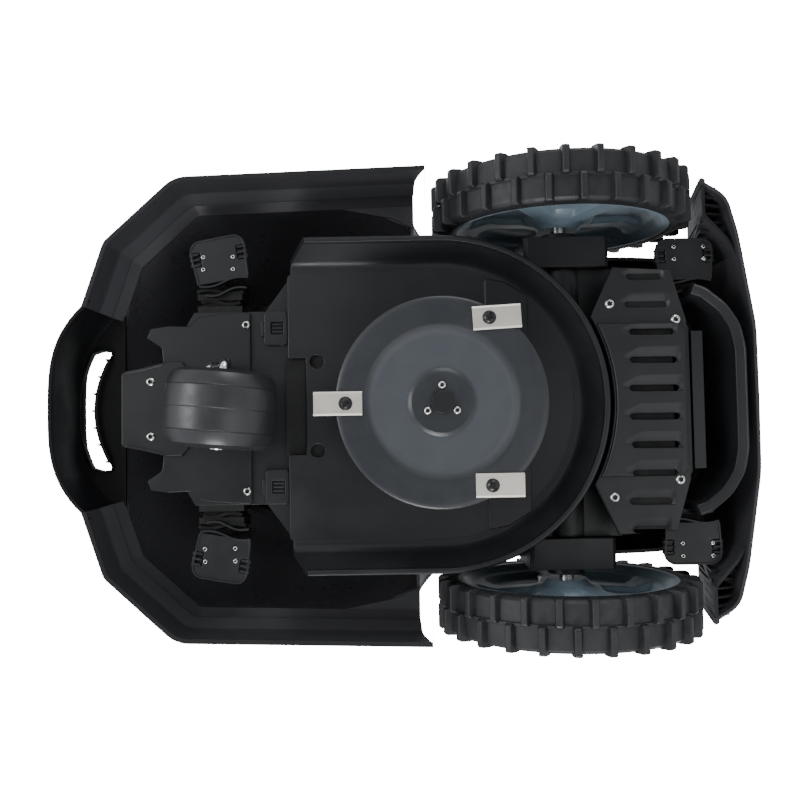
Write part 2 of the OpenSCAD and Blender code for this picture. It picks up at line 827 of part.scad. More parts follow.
module caster_fork() {
    side = caster_w / 2 + 7;
    bend = [[0, 0, 136], [0, 0, 81], [side - 6, 6, 81], [side, caster_trail - 8, 76],
        [side, caster_trail, 60], [side, caster_trail, caster_r]];
    color(steel) in_caster() {
        for (i = [0:len(bend) - 2]) rod(bend[i], bend[i + 1], rod_r);
        for (i = [1:len(bend) - 1]) translate(bend[i]) sphere(r = rod_r + 0.2, $fn = 24);
        translate([0, caster_trail, caster_r]) rotate([0, 90, 0])
            translate([0, 0, -side + 2]) cylinder(r = rod_r, h = 2 * side - 2, $fn = 32);
    }
}

module caster_wheel() {
    half = caster_w / 2;
    profile = [[rod_r + run, -half + 3], [14, -half + 3], [16, -half], [caster_r - 12, -half],
        [caster_r - 4, -half + 4], [caster_r - 0.6, -half + 13], [caster_r, -4], [caster_r, 4],
        [caster_r - 0.6, half - 13], [caster_r - 4, half - 4], [caster_r - 12, half], [16, half],
        [14, half - 3], [rod_r + run, half - 3]];
    color(rubber) in_caster() translate([0, caster_trail, caster_r]) rotate([0, 90, 0])
        rotate_extrude($fn = 96) polygon(profile);
}

chassis_tub();
chassis_lid();
tub_gasket();
front_plate();
latch_doors();
caster_bracket();
caster_bush();
battery_pack();
main_board();
deck_skirt();
lift_guides();
rear_cover();
color(mid) gearbox();  // gearbox_left
color(mid) mirror([1, 0, 0]) gearbox();  // gearbox_right
color(steel) drive_motor();  // drive_motor_left
color(steel) mirror([1, 0, 0]) drive_motor();  // drive_motor_right
dock_rim();
contact_block();
charge_contacts();
chassis_screws();
suspension_boots();
console();
display_screen();
lid_pin();
suspension_caps();
joystick_rods();
cap_screws();
hood();
shell_posts();
color(dark) skirt();  // skirt_left
color(dark) mirror([1, 0, 0]) skirt();  // skirt_right
nose_bumper();
grip_strip();
rear_bumper();
opening_trim();
control_lid();
lid_window();
stop_button();
key(0);  // key_power
key(1);  // key_home
key(2);  // key_start
height_knob();
lift_spindle();
blade_motor();
head_carrier();
blade_disc();
disc_cap();
hub_screws();
blade_screws();
blade(270, 270);  // blade_1
blade(30, 87);  // blade_2
blade(150, 90);  // blade_3
color(rubber) tyre();  // tyre_left
color([0.32, 0.4, 0.46]) hub();  // hub_left
color(steel) axle();  // axle_left
color(rubber) mirror([1, 0, 0]) tyre();  // tyre_right
color([0.32, 0.4, 0.46]) mirror([1, 0, 0]) hub();  // hub_right
color(steel) mirror([1, 0, 0]) axle();  // axle_right
caster_fork();
caster_wheel();
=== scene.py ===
"""Looks of the robotic lawn mower. Metres, +Z up, nose towards -Y, origin on the ground."""
import json
import math

import bmesh
import bpy
from mathutils import Matrix, Vector


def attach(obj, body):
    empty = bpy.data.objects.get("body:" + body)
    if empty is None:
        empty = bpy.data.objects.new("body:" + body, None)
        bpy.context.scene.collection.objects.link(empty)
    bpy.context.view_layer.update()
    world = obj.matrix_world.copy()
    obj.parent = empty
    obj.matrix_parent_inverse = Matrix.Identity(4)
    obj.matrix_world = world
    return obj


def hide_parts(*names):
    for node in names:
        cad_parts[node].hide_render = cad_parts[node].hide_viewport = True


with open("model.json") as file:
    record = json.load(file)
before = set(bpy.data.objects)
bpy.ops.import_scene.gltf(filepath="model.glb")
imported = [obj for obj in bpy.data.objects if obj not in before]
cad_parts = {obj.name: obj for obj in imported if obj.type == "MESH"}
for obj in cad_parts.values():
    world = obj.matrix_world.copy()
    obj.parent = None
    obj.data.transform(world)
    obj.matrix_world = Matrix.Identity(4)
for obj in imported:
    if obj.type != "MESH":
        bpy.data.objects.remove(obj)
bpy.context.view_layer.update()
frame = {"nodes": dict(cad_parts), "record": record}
MM = 0.001
SLOT_OF = {p["node"]: p["material_slot"] for p in frame["record"]["subparts"]}
BODY_OF = {n: b for b, ns in frame["record"]["behaviour"]["bodies"].items() for n in ns}

# ------------------------------------------------ driving sizes, millimetres and degrees
WHEEL_R, TREAD_R, HUB_R = 105, 99.5, 88.5
WHEEL_IN, WHEEL_W, AXLE_Y = 140.5, 41, 129.5
LUGS = 26
DISC_Y, DISC_Z, BLADE_SCREW_R, BLADE_ANGLES = 27.7, 40, 72.5, (30, 150, 270)
DECK_R, DECK_Z, DECK_FRONT, HOLE_X, HOLE_Y = 131, 82, -93, 35.5, -70
RIM_Z, HOOD_Z = 60, 115
NOSE_Y, NOSE_HALF, NOSE_DROP = 276, 80, 26
ARCH_R, ARCH_IN, HOOD_WALL, GROOVE = 120, 133.5, 3, 1.1
CASTER_Y, CASTER_R, CASTER_W, CASTER_TRAIL, CASTER_TURN = -168, 42, 58, 29, 5
STOP_Y, STOP_D, KNOB_Y = 93, 46, -36
LOUVRE_PITCH, PETALS = 21.8, 5
POSTS = ((113, -149, 192), (115, 231, 176))

# ------------------------------------------------ staging and shading, metres
FLOOR_HALF, FADE = 30, (0.7, 5.0)
SHELL_MIDDLE = (0, 0, 0.1)
DISH_START, DISH_STOP = (0.024, 0.027), (0.053, 0.057)
BACKDROP, BELOW, HORIZON, ABOVE = 18.0, 0.34, 1.25, 0.45
FOCAL_PIXELS, PICTURE_PIXELS = 850, 800
ALONG_X = Matrix.Rotation(math.pi / 2, 4, "Y")


# ---------------------------------------------------------------- materials

MATERIALS = {}


def mixed(nodes, links, factor, low, high):
    """Colour from low to high, each a constant or another node's output."""
    mix = nodes.new("ShaderNodeMix")
    mix.data_type = "RGBA"
    for name, value in (("A", low), ("B", high)):
        if isinstance(value, tuple):
            mix.inputs[name].default_value = (*value, 1)
        else:
            links.new(value, mix.inputs[name])
    links.new(factor, mix.inputs["Factor"])
    return mix.outputs["Result"]


def product(nodes, links, one, two):
    node = nodes.new("ShaderNodeMath")
    node.operation = "MULTIPLY"
    links.new(one, node.inputs[0])
    links.new(two, node.inputs[1])
    return node.outputs["Value"]


def vector_math(nodes, links, operation, *values):
    """Outputs of a calculation on constants and other nodes' outputs."""
    node = nodes.new("ShaderNodeVectorMath")
    node.operation = operation
    for socket, value in zip(node.inputs, values):
        if isinstance(value, tuple):
            socket.default_value = value
        else:
            links.new(value, socket)
    return node.outputs


def noise(nodes, links, vector, size_mm, detail=2.0, stretch=None):
    node = nodes.new("ShaderNodeTexNoise")
    node.inputs["Scale"].default_value = 1000.0 / size_mm
    node.inputs["Detail"].default_value = detail
    if stretch:
        mapping = nodes.new("ShaderNodeMapping")
        mapping.inputs["Scale"].default_value = stretch
        links.new(vector, mapping.inputs["Vector"])
        vector = mapping.outputs["Vector"]
    links.new(vector, node.inputs["Vector"])
    return node.outputs["Fac"]


def spread(nodes, links, value, low, high, start=0.35, stop=0.65):
    """Maps a noise's middle range on to low..high."""
    node = nodes.new("ShaderNodeMapRange")
    node.inputs["From Min"].default_value = start
    node.inputs["From Max"].default_value = stop
    node.inputs["To Min"].default_value = low
    node.inputs["To Max"].default_value = high
    links.new(value, node.inputs["Value"])
    return node.outputs["Result"]


def painted_inner_light(nodes, links, colour, inside):
    """colour where a face looks away from the mower's middle, the paler inside colour where it looks
    towards it: painted fill light on the shaded inner faces.
    """
    place = nodes.new("ShaderNodeTexCoord").outputs
    outward = vector_math(nodes, links, "SUBTRACT", place["Object"], SHELL_MIDDLE)["Vector"]
    facing = vector_math(nodes, links, "DOT_PRODUCT", place["Normal"], outward)["Value"]
    return mixed(nodes, links, spread(nodes, links, facing, 1, 0, -0.01, 0.0), colour, inside)


def painted_dish_sheen(nodes, links, colour, dish):
    """A paler colour between two radii of the blade disc, with soft borders: a painted sheen on its
    dish.
    """
    where = nodes.new("ShaderNodeTexCoord").outputs["Object"]
    from_axis = vector_math(nodes, links, "MULTIPLY_ADD", where, (1, 1, 0), (0, -DISC_Y * MM, 0))
    radius = vector_math(nodes, links, "LENGTH", from_axis["Vector"])["Value"]
    within = product(nodes, links, spread(nodes, links, radius, 0, 1, *DISH_START),
                     spread(nodes, links, radius, 1, 0, *DISH_STOP))
    return mixed(nodes, links, within, colour, dish)


def surface(name, dark, light, rough, metallic=0.0, grain=0.5, depth=0.12, blotch=60, stretch=None,
            scratch=0.0, round_edges=0.0, coat=0.0, specular=0.5, inside=None, dish=None):
    """A moulded, cast or brushed surface: two tones in soft blotches, fine grain, uneven gloss.

    inside is a paler colour for a shell's inner faces, painted fill light where they lie in shade,
    and dish a paler colour on a ring of the blade disc, a painted sheen. blotch, grain and
    round_edges are millimetres."""
    mat = bpy.data.materials.new(name)
    mat.use_nodes = True
    nodes, links = mat.node_tree.nodes, mat.node_tree.links
    shader = nodes["Principled BSDF"]
    where = nodes.new("ShaderNodeTexCoord").outputs["Object"]
    patches = noise(nodes, links, where, blotch, 3.0)
    grains = noise(nodes, links, where, grain, 1.0, stretch)
    colour = mixed(nodes, links, spread(nodes, links, patches, 0, 1), dark, light)
    gloss = spread(nodes, links, noise(nodes, links, where, blotch * 0.3, 4.0), *rough)
    # inside: faces that look towards the mower's middle get a paler colour, painted fill light in the
    # shaded interior
    if inside:
        colour = painted_inner_light(nodes, links, colour, inside)
    # dish: a paler ring on the blade disc, painted sheen
    if dish:
        colour = painted_dish_sheen(nodes, links, colour, dish)
    if scratch:
        marks = nodes.new("ShaderNodeTexWave")
        marks.wave_type = "RINGS"
        marks.rings_direction = "Z"
        marks.inputs["Scale"].default_value = 60
        marks.inputs["Distortion"].default_value = 9
        marks.inputs["Detail"].default_value = 3
        marks.inputs["Detail Scale"].default_value = 2
        links.new(where, marks.inputs["Vector"])
        thin = spread(nodes, links, marks.outputs["Fac"], 0, scratch, 0.93, 1.0)
        colour = mixed(nodes, links, thin, colour, tuple(min(1, c * 2.2 + 0.02) for c in light))
    bump = nodes.new("ShaderNodeBump")
    bump.inputs["Strength"].default_value = depth
    bump.inputs["Distance"].default_value = 0.0002
    links.new(grains, bump.inputs["Height"])
    if round_edges:
        bevel = nodes.new("ShaderNodeBevel")
        bevel.samples = 8
        bevel.inputs["Radius"].default_value = round_edges * MM
        links.new(bevel.outputs["Normal"], bump.inputs["Normal"])
    links.new(colour, shader.inputs["Base Color"])
    links.new(gloss, shader.inputs["Roughness"])
    links.new(bump.outputs["Normal"], shader.inputs["Normal"])
    shader.inputs["Metallic"].default_value = metallic
    shader.inputs["Coat Weight"].default_value = coat
    shader.inputs["Specular IOR Level"].default_value = specular
    MATERIALS[name] = mat
    return mat


def smoked_glass(name):
    mat = surface(name, (0.02, 0.024, 0.028), (0.03, 0.034, 0.04), (0.04, 0.09), grain=2, depth=0.02)
    shader = mat.node_tree.nodes["Principled BSDF"]
    shader.inputs["Alpha"].default_value = 0.45
    shader.inputs["Coat Weight"].default_value = 1.0


# the inside colours of shell_black and skirt_black are painted fill light on the shells' shaded inner
# faces
surface("shell_black", (0.0095, 0.0100, 0.0118), (0.0120, 0.0125, 0.0148), (0.27, 0.34), grain=0.7,
        depth=0.08, specular=0.36, inside=(0.060, 0.060, 0.066))
surface("skirt_black", (0.0085, 0.0088, 0.0100), (0.0110, 0.0114, 0.0128), (0.38, 0.48), grain=0.8,
        depth=0.12, specular=0.26, inside=(0.034, 0.034, 0.038))
# nose_black: a darker copy of the skirt's black, painted shade on the nose bumper
surface("nose_black", (0.0045, 0.0046, 0.0052), (0.0060, 0.0062, 0.0070), (0.40, 0.50), grain=0.8,
        depth=0.12, specular=0.18)
surface("chassis_black", (0.0105, 0.0108, 0.0122), (0.0135, 0.0139, 0.0155), (0.32, 0.42),
        grain=0.8, depth=0.12, specular=0.34, round_edges=0.8)
surface("cap_black", (0.0100, 0.0104, 0.0118), (0.0130, 0.0134, 0.0150), (0.34, 0.44), grain=0.6,
        depth=0.12, specular=0.38, round_edges=0.4)
surface("console_black", (0.0085, 0.009, 0.0105), (0.012, 0.0125, 0.0145), (0.20, 0.28), grain=0.9,
        depth=0.05, round_edges=0.5)
surface("lid_grey", (0.030, 0.032, 0.037), (0.038, 0.040, 0.046), (0.20, 0.30), grain=0.8,
        depth=0.05, coat=0.2, round_edges=0.5)
surface("trim_grey", (0.060, 0.063, 0.070), (0.075, 0.078, 0.085), (0.34, 0.44), grain=0.6,
        depth=0.1, round_edges=0.4)
smoked_glass("screen_glass")
surface("display", (0.020, 0.034, 0.036), (0.024, 0.040, 0.042), (0.10, 0.16), grain=0.35,
        depth=0.03, blotch=25)
surface("stop_red", (0.46, 0.016, 0.010), (0.52, 0.020, 0.012), (0.22, 0.30), grain=0.9, depth=0.05,
        coat=0.3)
surface("key_grey", (0.16, 0.165, 0.17), (0.19, 0.195, 0.20), (0.4, 0.5), grain=0.5, depth=0.1)
surface("rubber_black", (0.0045, 0.0046, 0.005), (0.0075, 0.0076, 0.008), (0.55, 0.7), grain=0.6,
        depth=0.2, blotch=30, specular=0.3)
surface("tyre_rubber", (0.0080, 0.0083, 0.0098), (0.0130, 0.0134, 0.0155), (0.42, 0.58), grain=0.9,
        depth=0.25, blotch=22, specular=0.45)
surface("caster_rubber", (0.0160, 0.0164, 0.0185), (0.0200, 0.0205, 0.0230), (0.32, 0.42),
        grain=0.7, depth=0.12, blotch=26, specular=0.5)
surface("hub_blue_grey", (0.112, 0.152, 0.184), (0.125, 0.167, 0.200), (0.28, 0.34), grain=0.8,
        depth=0.06, blotch=90)
# the disc's dish colour is a painted sheen on its middle ring
surface("disc_plastic", (0.0150, 0.0168, 0.0205), (0.0185, 0.0205, 0.0245), (0.34, 0.42), grain=0.9,
        depth=0.10, blotch=50, scratch=0.06, dish=(0.046, 0.051, 0.060))
surface("blade_steel", (0.70, 0.67, 0.60), (0.75, 0.72, 0.65), (0.36, 0.42), metallic=0.85,
        grain=0.35, depth=0.1, stretch=(1, 0.05, 1), blotch=30)
surface("screw_steel", (0.60, 0.60, 0.59), (0.72, 0.71, 0.69), (0.18, 0.28), metallic=1.0,
        grain=0.4, depth=0.08, blotch=4)
surface("dark_screw", (0.030, 0.030, 0.032), (0.050, 0.049, 0.048), (0.24, 0.34), metallic=0.8,
        grain=0.4, depth=0.1, blotch=4)
surface("rod_steel", (0.68, 0.68, 0.68), (0.78, 0.78, 0.77), (0.12, 0.2), metallic=1.0, grain=0.4,
        depth=0.06, stretch=(1, 1, 0.1), blotch=15)
surface("motor_metal", (0.014, 0.014, 0.016), (0.020, 0.020, 0.022), (0.34, 0.46), metallic=0.4,
        grain=0.5, depth=0.1, blotch=30)
surface("brass_contact", (0.58, 0.40, 0.15), (0.70, 0.52, 0.22), (0.2, 0.32), metallic=1.0,
        grain=0.4, depth=0.1, stretch=(0.1, 1, 1), blotch=8)
surface("battery_blue", (0.010, 0.018, 0.034), (0.014, 0.024, 0.044), (0.3, 0.42), grain=1.2,
        depth=0.1)
surface("board_green", (0.008, 0.10, 0.035), (0.012, 0.14, 0.05), (0.25, 0.4), grain=0.6,
        depth=0.15, blotch=9)


# ---------------------------------------------------------------- pieces

def dress(obj, node, finish=None):
    """obj stands for a CAD node, rides on its body and takes its finish."""
    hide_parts(node)
    return detail(obj, BODY_OF[node], SLOT_OF[node], finish)


def dress_all(*forms):
    for node, form in forms:
        dress(form(), node)


def detail(obj, body, slot, finish=None):
    """Gives a piece its finish and its body, and keeps its flat faces flat in shading."""
    obj.data.materials.clear()
    obj.data.materials.append(MATERIALS[finish or slot])
    flatten = obj.modifiers.new("flat_faces", "WEIGHTED_NORMAL")
    flatten.keep_sharp = True
    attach(obj, body)
    return obj


def placed(name, data):
    obj = bpy.data.objects.new(name, data)
    bpy.context.collection.objects.link(obj)
    return obj


def object_from(bm, name, scale=MM):
    bmesh.ops.recalc_face_normals(bm, faces=bm.faces)
    mesh = bpy.data.meshes.new(name)
    bm.to_mesh(mesh)
    bm.free()
    if scale != 1:
        mesh.transform(Matrix.Scale(scale, 4))
    return placed(name, mesh)


def bridge(bm, one, two):
    """Faces between two closed rings of vertices."""
    for k in range(len(one)):
        n = (k + 1) % len(one)
        bm.faces.new((one[k], one[n], two[n], two[k]))


def spot(x, y, z=0, turn=0):
    """A place in millimetres, turned about the vertical by degrees."""
    return (Matrix.Translation((x * MM, y * MM, z * MM))
            @ Matrix.Rotation(math.radians(turn), 4, "Z"))


def polar(r, a, cx=0, cy=0):
    """The point at angle a, in radians, on a circle."""
    return cx + r * math.cos(a), cy + r * math.sin(a)


def on_disc(r, degrees):
    return polar(r, math.radians(degrees), 0, DISC_Y)


def shade(obj, angle=32):
    """Smooth shading that breaks at edges sharper than angle."""
    mesh = obj.data
    bm = bmesh.new()
    bm.from_mesh(mesh)
    for face in bm.faces:
        face.smooth = True
    for edge in bm.edges:
        if len(edge.link_faces) == 2:
            edge.smooth = edge.calc_face_angle(0) < math.radians(angle)
    bm.to_mesh(mesh)
    bm.free()
    return obj


def soften(obj, width, angle=28, segments=2):
    """Rounds every edge sharper than angle, with flat faces left flat."""
    for poly in obj.data.polygons:
        poly.use_smooth = True
    mod = obj.modifiers.new("round_edges", "BEVEL")
    mod.width = width * MM
    mod.segments = segments
    mod.limit_method = "ANGLE"
    mod.angle_limit = math.radians(angle)
    mod.harden_normals = True
    mod.miter_outer = "MITER_ARC"
    return obj


def applied(obj):
    """The object with its modifiers made real."""
    graph = bpy.context.evaluated_depsgraph_get()
    mesh = bpy.data.meshes.new_from_object(obj.evaluated_get(graph))
    old = obj.data
    obj.modifiers.clear()
    obj.data = mesh
    bpy.data.meshes.remove(old)
    return obj


def drop(*objs):
    for obj in objs:
        bpy.data.objects.remove(obj, do_unlink=True)


def merged(name, objs):
    """One object from several, with their modifiers applied."""
    bm = bmesh.new()
    for obj in objs:
        if obj.modifiers:
            applied(obj)
        obj.data.transform(obj.matrix_world)
        bm.from_mesh(obj.data)
    mesh = bpy.data.meshes.new(name)
    bm.to_mesh(mesh)
    bm.free()
    drop(*objs)
    return placed(name, mesh)


def moulded(node, angle=30):
    """The CAD node's own shape, joined into large faces; its material rounds the edges."""
    bm = bmesh.new()
    bm.from_mesh(frame["nodes"][node].data)
    bmesh.ops.remove_doubles(bm, verts=bm.verts, dist=1e-5)
    bmesh.ops.dissolve_limit(bm, angle_limit=math.radians(0.5), verts=bm.verts, edges=bm.edges)
    return shade(object_from(bm, node + "_form", scale=1), angle)


def mesh_of(curve):
    source = placed(curve.name, curve)
    graph = bpy.context.evaluated_depsgraph_get()
    mesh = bpy.data.meshes.new_from_object(source.evaluated_get(graph))
    drop(source)
    return mesh


def tube(name, points, r, steps=8):
    """A round bar whose corners are bent smoothly; radii come from the shorter leg."""
    curve = bpy.data.curves.new(name, "CURVE")
    curve.dimensions = "3D"
    curve.bevel_depth = r * MM
    curve.bevel_resolution = 6
    curve.use_fill_caps = True
    line = [Vector(points[0])]
    for before, here, after in zip(points, points[1:], points[2:]):
        here, a, b = Vector(here), Vector(before), Vector(after)
        reach = min((a - here).length, (b - here).length) * 0.48
        start, stop = here + (a - here).normalized() * reach, here + (b - here).normalized() * reach
        for k in range(steps + 1):
            t = k / steps
            line.append(start * (1 - t) ** 2 + here * 2 * t * (1 - t) + stop * t ** 2)
    line.append(Vector(points[-1]))
    spline = curve.splines.new("POLY")
    spline.points.add(len(line) - 1)
    for point, p in zip(spline.points, line):
        point.co = (*(p * MM), 1)
    return shade(placed(name, mesh_of(curve)), 50)


def sweep(name, path, section, closed=False):
    """A section of (inset, height) points swept along a plan path, mitred at its corners."""
    bm = bmesh.new()
    count = len(path)
    rings = []
    for i, p in enumerate(path):
        here = Vector(p)
        if closed:
            before, after = Vector(path[i - 1]), Vector(path[(i + 1) % count])
        else:
            before = Vector(path[max(i - 1, 0)])
            after = Vector(path[min(i + 1, count - 1)])
        a = (here - before).normalized() if here != before else (after - here).normalized()
        b = (after - here).normalized() if after != here else a
        along = (a + b).normalized()
        inward = Vector((-along.y, along.x)) / max(0.4, along.dot(a))
        rings.append([bm.verts.new((*(here + inward * s), z)) for s, z in section])
    for i in range(count if closed else count - 1):
        bridge(bm, rings[i], rings[(i + 1) % count])
    if not closed:
        bm.faces.new(rings[0][::-1])
        bm.faces.new(rings[-1])
    return object_from(bm, name)


def rounded(points, radii, steps=8):
    """A polyline whose inner corners become arcs of the given radii."""
    out = [points[0]]
    for i in range(1, len(points) - 1):
        p, q, r = Vector(points[i - 1]), Vector(points[i]), Vector(points[i + 1])
        a, b = (p - q).normalized(), (r - q).normalized()
        half = math.acos(max(-1, min(1, a.dot(b)))) / 2
        radius = radii[i - 1]
        if radius <= 0:
            out.append(tuple(q))
            continue
        centre = q + (a + b).normalized() * (radius / math.sin(half))
        start = q + a * (radius / math.tan(half)) - centre
        stop = q + b * (radius / math.tan(half)) - centre
        turn = start.angle_signed(stop)
        for k in range(steps + 1):
            out.append(tuple(centre + Matrix.Rotation(-turn * k / steps, 2) @ start))
    out.append(points[-1])
    return out


def arc(cx, cy, r, start, stop, steps):
    """Points round a centre, from one angle to another, in degrees."""
    return [polar(r, math.radians(start + (stop - start) * k / steps), cx, cy)
            for k in range(steps + 1)]


def box_outline(cx, cy, w, h, r, steps=6):
    """Rounded rectangle."""
    out = []
    for sx, sy, a in ((1, 1, 0), (-1, 1, 90), (-1, -1, 180), (1, -1, 270)):
        out += arc(cx + sx * (w / 2 - r), cy + sy * (h / 2 - r), r, a, a + 90, steps)
    return out


def circle(cx, cy, r, steps=32):
    return arc(cx, cy, r, 0, 360 - 360 / steps, steps - 1)


def both(half):
    """A half outline for x >= 0 made whole by its mirror image."""
    return half + [(-x, y) for x, y in reversed(half) if x > 0.001]


def slab(name, outline, z0, z1, holes=(), edge=0.5, resolution=2):
    """A flat plate with holes and rounded edges."""
    curve = bpy.data.curves.new(name, "CURVE")
    curve.dimensions = "2D"
    curve.fill_mode = "BOTH"
    for loop in (outline, *holes):
        spline = curve.splines.new("POLY")
        spline.points.add(len(loop) - 1)
        for point, (x, y) in zip(spline.points, loop):
            point.co = (x * MM, y * MM, 0, 1)
        spline.use_cyclic_u = True
    edge = min(edge, (z1 - z0) / 2 - 0.01)
    curve.bevel_depth = edge * MM
    curve.bevel_resolution = resolution
    curve.offset = -edge * MM
    curve.extrude = ((z1 - z0) / 2 - edge) * MM
    mesh = mesh_of(curve)
    mesh.transform(Matrix.Translation((0, 0, (z0 + z1) / 2 * MM)))
    bm = bmesh.new()
    bm.from_mesh(mesh)
    bmesh.ops.remove_doubles(bm, verts=bm.verts, dist=1e-6)
    bm.to_mesh(mesh)
    bm.free()
    return shade(placed(name, mesh))


def lathe(name, profile, steps=96, axis="Z", at=(0, 0, 0)):
    """A profile of (radius, height) points turned about an axis through at."""
    bm = bmesh.new()
    rings = [[bm.verts.new((0, 0, z))] if r < 1e-6 else
             [bm.verts.new((*polar(r, 2 * math.pi * k / steps), z)) for k in range(steps)]
             for r, z in profile]
    pairs = list(zip(rings, rings[1:]))
    if len(rings[0]) > 1 and len(rings[-1]) > 1:
        pairs.append((rings[-1], rings[0]))
    for one, two in pairs:
        for k in range(steps):
            n = (k + 1) % steps
            corners = dict.fromkeys((one[k % len(one)], one[n % len(one)], two[n % len(two)],
                                     two[k % len(two)]))
            if len(corners) >= 3:
                bm.faces.new(list(corners))
    turn = {"Z": Matrix(), "X": ALONG_X}[axis]
    bm.transform(Matrix.Translation(at) @ turn)
    return object_from(bm, name)


def mirrored(obj, name):
    """A copy on the other side of the middle plane."""
    mesh = obj.data.copy()
    mesh.transform(Matrix.Diagonal((-1, 1, 1, 1)))
    mesh.flip_normals()
    return placed(name, mesh)


def with_twins(parts):
    """The parts, each followed by its mirror image."""
    return [piece for part in parts for piece in (part, mirrored(part, part.name + "_right"))]


def shaped(obj, operation, *tools):
    """obj after a boolean operation with each tool; the tools are removed."""
    for tool in tools:
        mod = obj.modifiers.new("shape", "BOOLEAN")
        mod.operation = operation
        mod.solver = "EXACT"
        mod.object = tool
    applied(obj)
    drop(*tools)
    return obj


def cut(obj, *tools):
    return shaped(obj, "DIFFERENCE", *tools)


def block(name, outline, z0, z1):
    """A plain closed prism, for cutting and joining."""
    bm = bmesh.new()
    low = [bm.verts.new((x, y, z0)) for x, y in outline]
    high = [bm.verts.new((x, y, z1)) for x, y in outline]
    bm.faces.new(low[::-1])
    bm.faces.new(high)
    bridge(bm, low, high)
    return object_from(bm, name)


def torx_screw(name, x, y, z, r, height, shank=2.0):
    """Pan head facing down, with a six-lobed recess."""
    profile = [(0, 1.1 * r), (0.42 * r, 1.1 * r), (0.46 * r, 0.1 * r), (0.5 * r, 0.02 * r),
               (0.66 * r, 0.03 * r), (0.86 * r, 0.16 * r), (0.97 * r, 0.34 * r),
               (r, 0.5 * r), (r, height), (0.5 * r, height), (0.5 * r, height + shank),
               (0, height + shank)]
    screw = lathe(name, profile, 36, at=(x, y, z))
    for vert in screw.data.vertices:
        away = Vector((vert.co.x - x * MM, vert.co.y - y * MM))
        if 0.3 * r * MM < away.length < 0.47 * r * MM and vert.co.z < (z + 0.5 * r) * MM:
            lobe = 1 + 0.16 * math.cos(6 * math.atan2(away.y, away.x))
            vert.co.x, vert.co.y = x * MM + away.x * lobe, y * MM + away.y * lobe
    return shade(screw, 40)


# ---------------------------------------------------------------- shell

SKIRT_PATH = rounded([(80, -250), (130, -233), (180, -178), (186, 22)], [14, 26])


def nose_line(inset, half, steps=16):
    return [(half * k / steps, -NOSE_Y + inset + NOSE_DROP * (k / steps) ** 3.2)
            for k in range(steps + 1)]


def wheel_hole(name, r, x0, steps=128):
    return lathe(name, [(0, x0), (r, x0), (r, 230), (0, 230)], steps, "X", (0, AXLE_Y, WHEEL_R))


def skirt():
    section = [(0, RIM_Z), (-0.6, RIM_Z + 1.2), (0, RIM_Z + 3), (2, 102), (3.4, 105.5), (15, 113.4),
               (15, HOOD_Z - 0.3), (17, HOOD_Z - 0.3), (17.5, 111.6), (6.2, 103), (5.2, 99),
               (12.2, 97.6), (13.2, 96.4), (12.6, 94.8), (6.2, 87.4), (4.9, 84.6),
               (3.4, RIM_Z + 6), (3.2, RIM_Z + 3.4), (3.4, RIM_Z)]
    band = shade(sweep("band", SKIRT_PATH, section), 40)
    flange = block("flange", [(151, 18), (183.5, 18), (183.5, 22), (151, 22)], RIM_Z, 108)
    web = block("web", [(168, -60), (181, -60), (181, 20), (144, 20), (148, 12), (158, -8)],
                HOOD_Z - 3, HOOD_Z - 0.4)
    parts = [cut(part, wheel_hole("arch_cut", ARCH_R, ARCH_IN)) for part in (band, flange, web)]
    return shade(merged("skirt_form", parts), 34)


def nose():
    wall = [(-0.5, RIM_Z + 1.2), (0, RIM_Z + 3), (0.3, 90), (1.2, 102), (3.4, 110),
            (6.5, HOOD_Z - 1.2), (10, HOOD_Z - 0.4), (10, HOOD_Z - 3.6), (8.4, HOOD_Z - 4.2),
            (6.2, 107), (4.6, 101), (3.6, 92), (3, RIM_Z + 3), (2.6, RIM_Z + 0.3), (0.6, RIM_Z)]
    line = nose_line(0, NOSE_HALF) + [(86, -247.6)]
    path = [(-x, y) for x, y in reversed(line[1:])] + line
    band = shade(sweep("nose_band", path, wall), 40)
    front = [(47 * k / 12, -268 + 10 * (k / 12) ** 2.4) for k in range(13)]
    rear = [(48.6 * k / 12, -256 + 14 * (k / 12) ** 2) for k in range(13)]
    slot = both(rounded(front + [(49.4, -250)] + rear[::-1], [0] * 12 + [3, 2] + [0] * 11))
    edge = both(nose_line(7.6, NOSE_HALF - 2) + [(84, -244), (84, -232)])
    top = slab("nose_top", edge, HOOD_Z - 4, HOOD_Z - 0.4, [slot], 0.8)
    rim = sweep("slot_rim", slot, [(0, HOOD_Z - 0.3), (-1.8, HOOD_Z - 0.3), (-1.8, HOOD_Z - 7),
                                   (-0.2, HOOD_Z - 7)], closed=True)
    soften(rim, 0.5)
    return merged("nose_form", [band, top, rim])


def grip():
    """Ribbed rubber pad that follows the slot's rear edge."""
    def edge_at(x, back):
        return (x, -256 + back + 14 * (x / 47) ** 2)
    pad_line = [edge_at(4.1 * k, 0.4) for k in range(-10, 11)]
    pad_line += [edge_at(4.1 * k, 3) for k in range(10, -11, -1)]
    pad = slab("grip_pad", pad_line, HOOD_Z - 12, HOOD_Z - 2, edge=0.6)
    ribs = [slab("grip_rib", box_outline(14 * k, edge_at(14 * k, 0.2)[1], 1.8, 3.6, 0.8, 4),
                 HOOD_Z - 12, HOOD_Z - 3, edge=0.6) for k in range(-3, 4)]
    return merged("grip_form", [pad, *ribs])


def smooth_at(points, x):
    """Height of a smooth curve through (x, value) points."""
    if x <= points[0][0]:
        return points[0][1]
    for (x0, y0), (x1, y1) in zip(points, points[1:]):
        if x <= x1:
            t = (x - x0) / (x1 - x0)
            t = t * t * (3 - 2 * t) * 0.35 + t * 0.65
            return y0 + (y1 - y0) * t
    return points[-1][1]


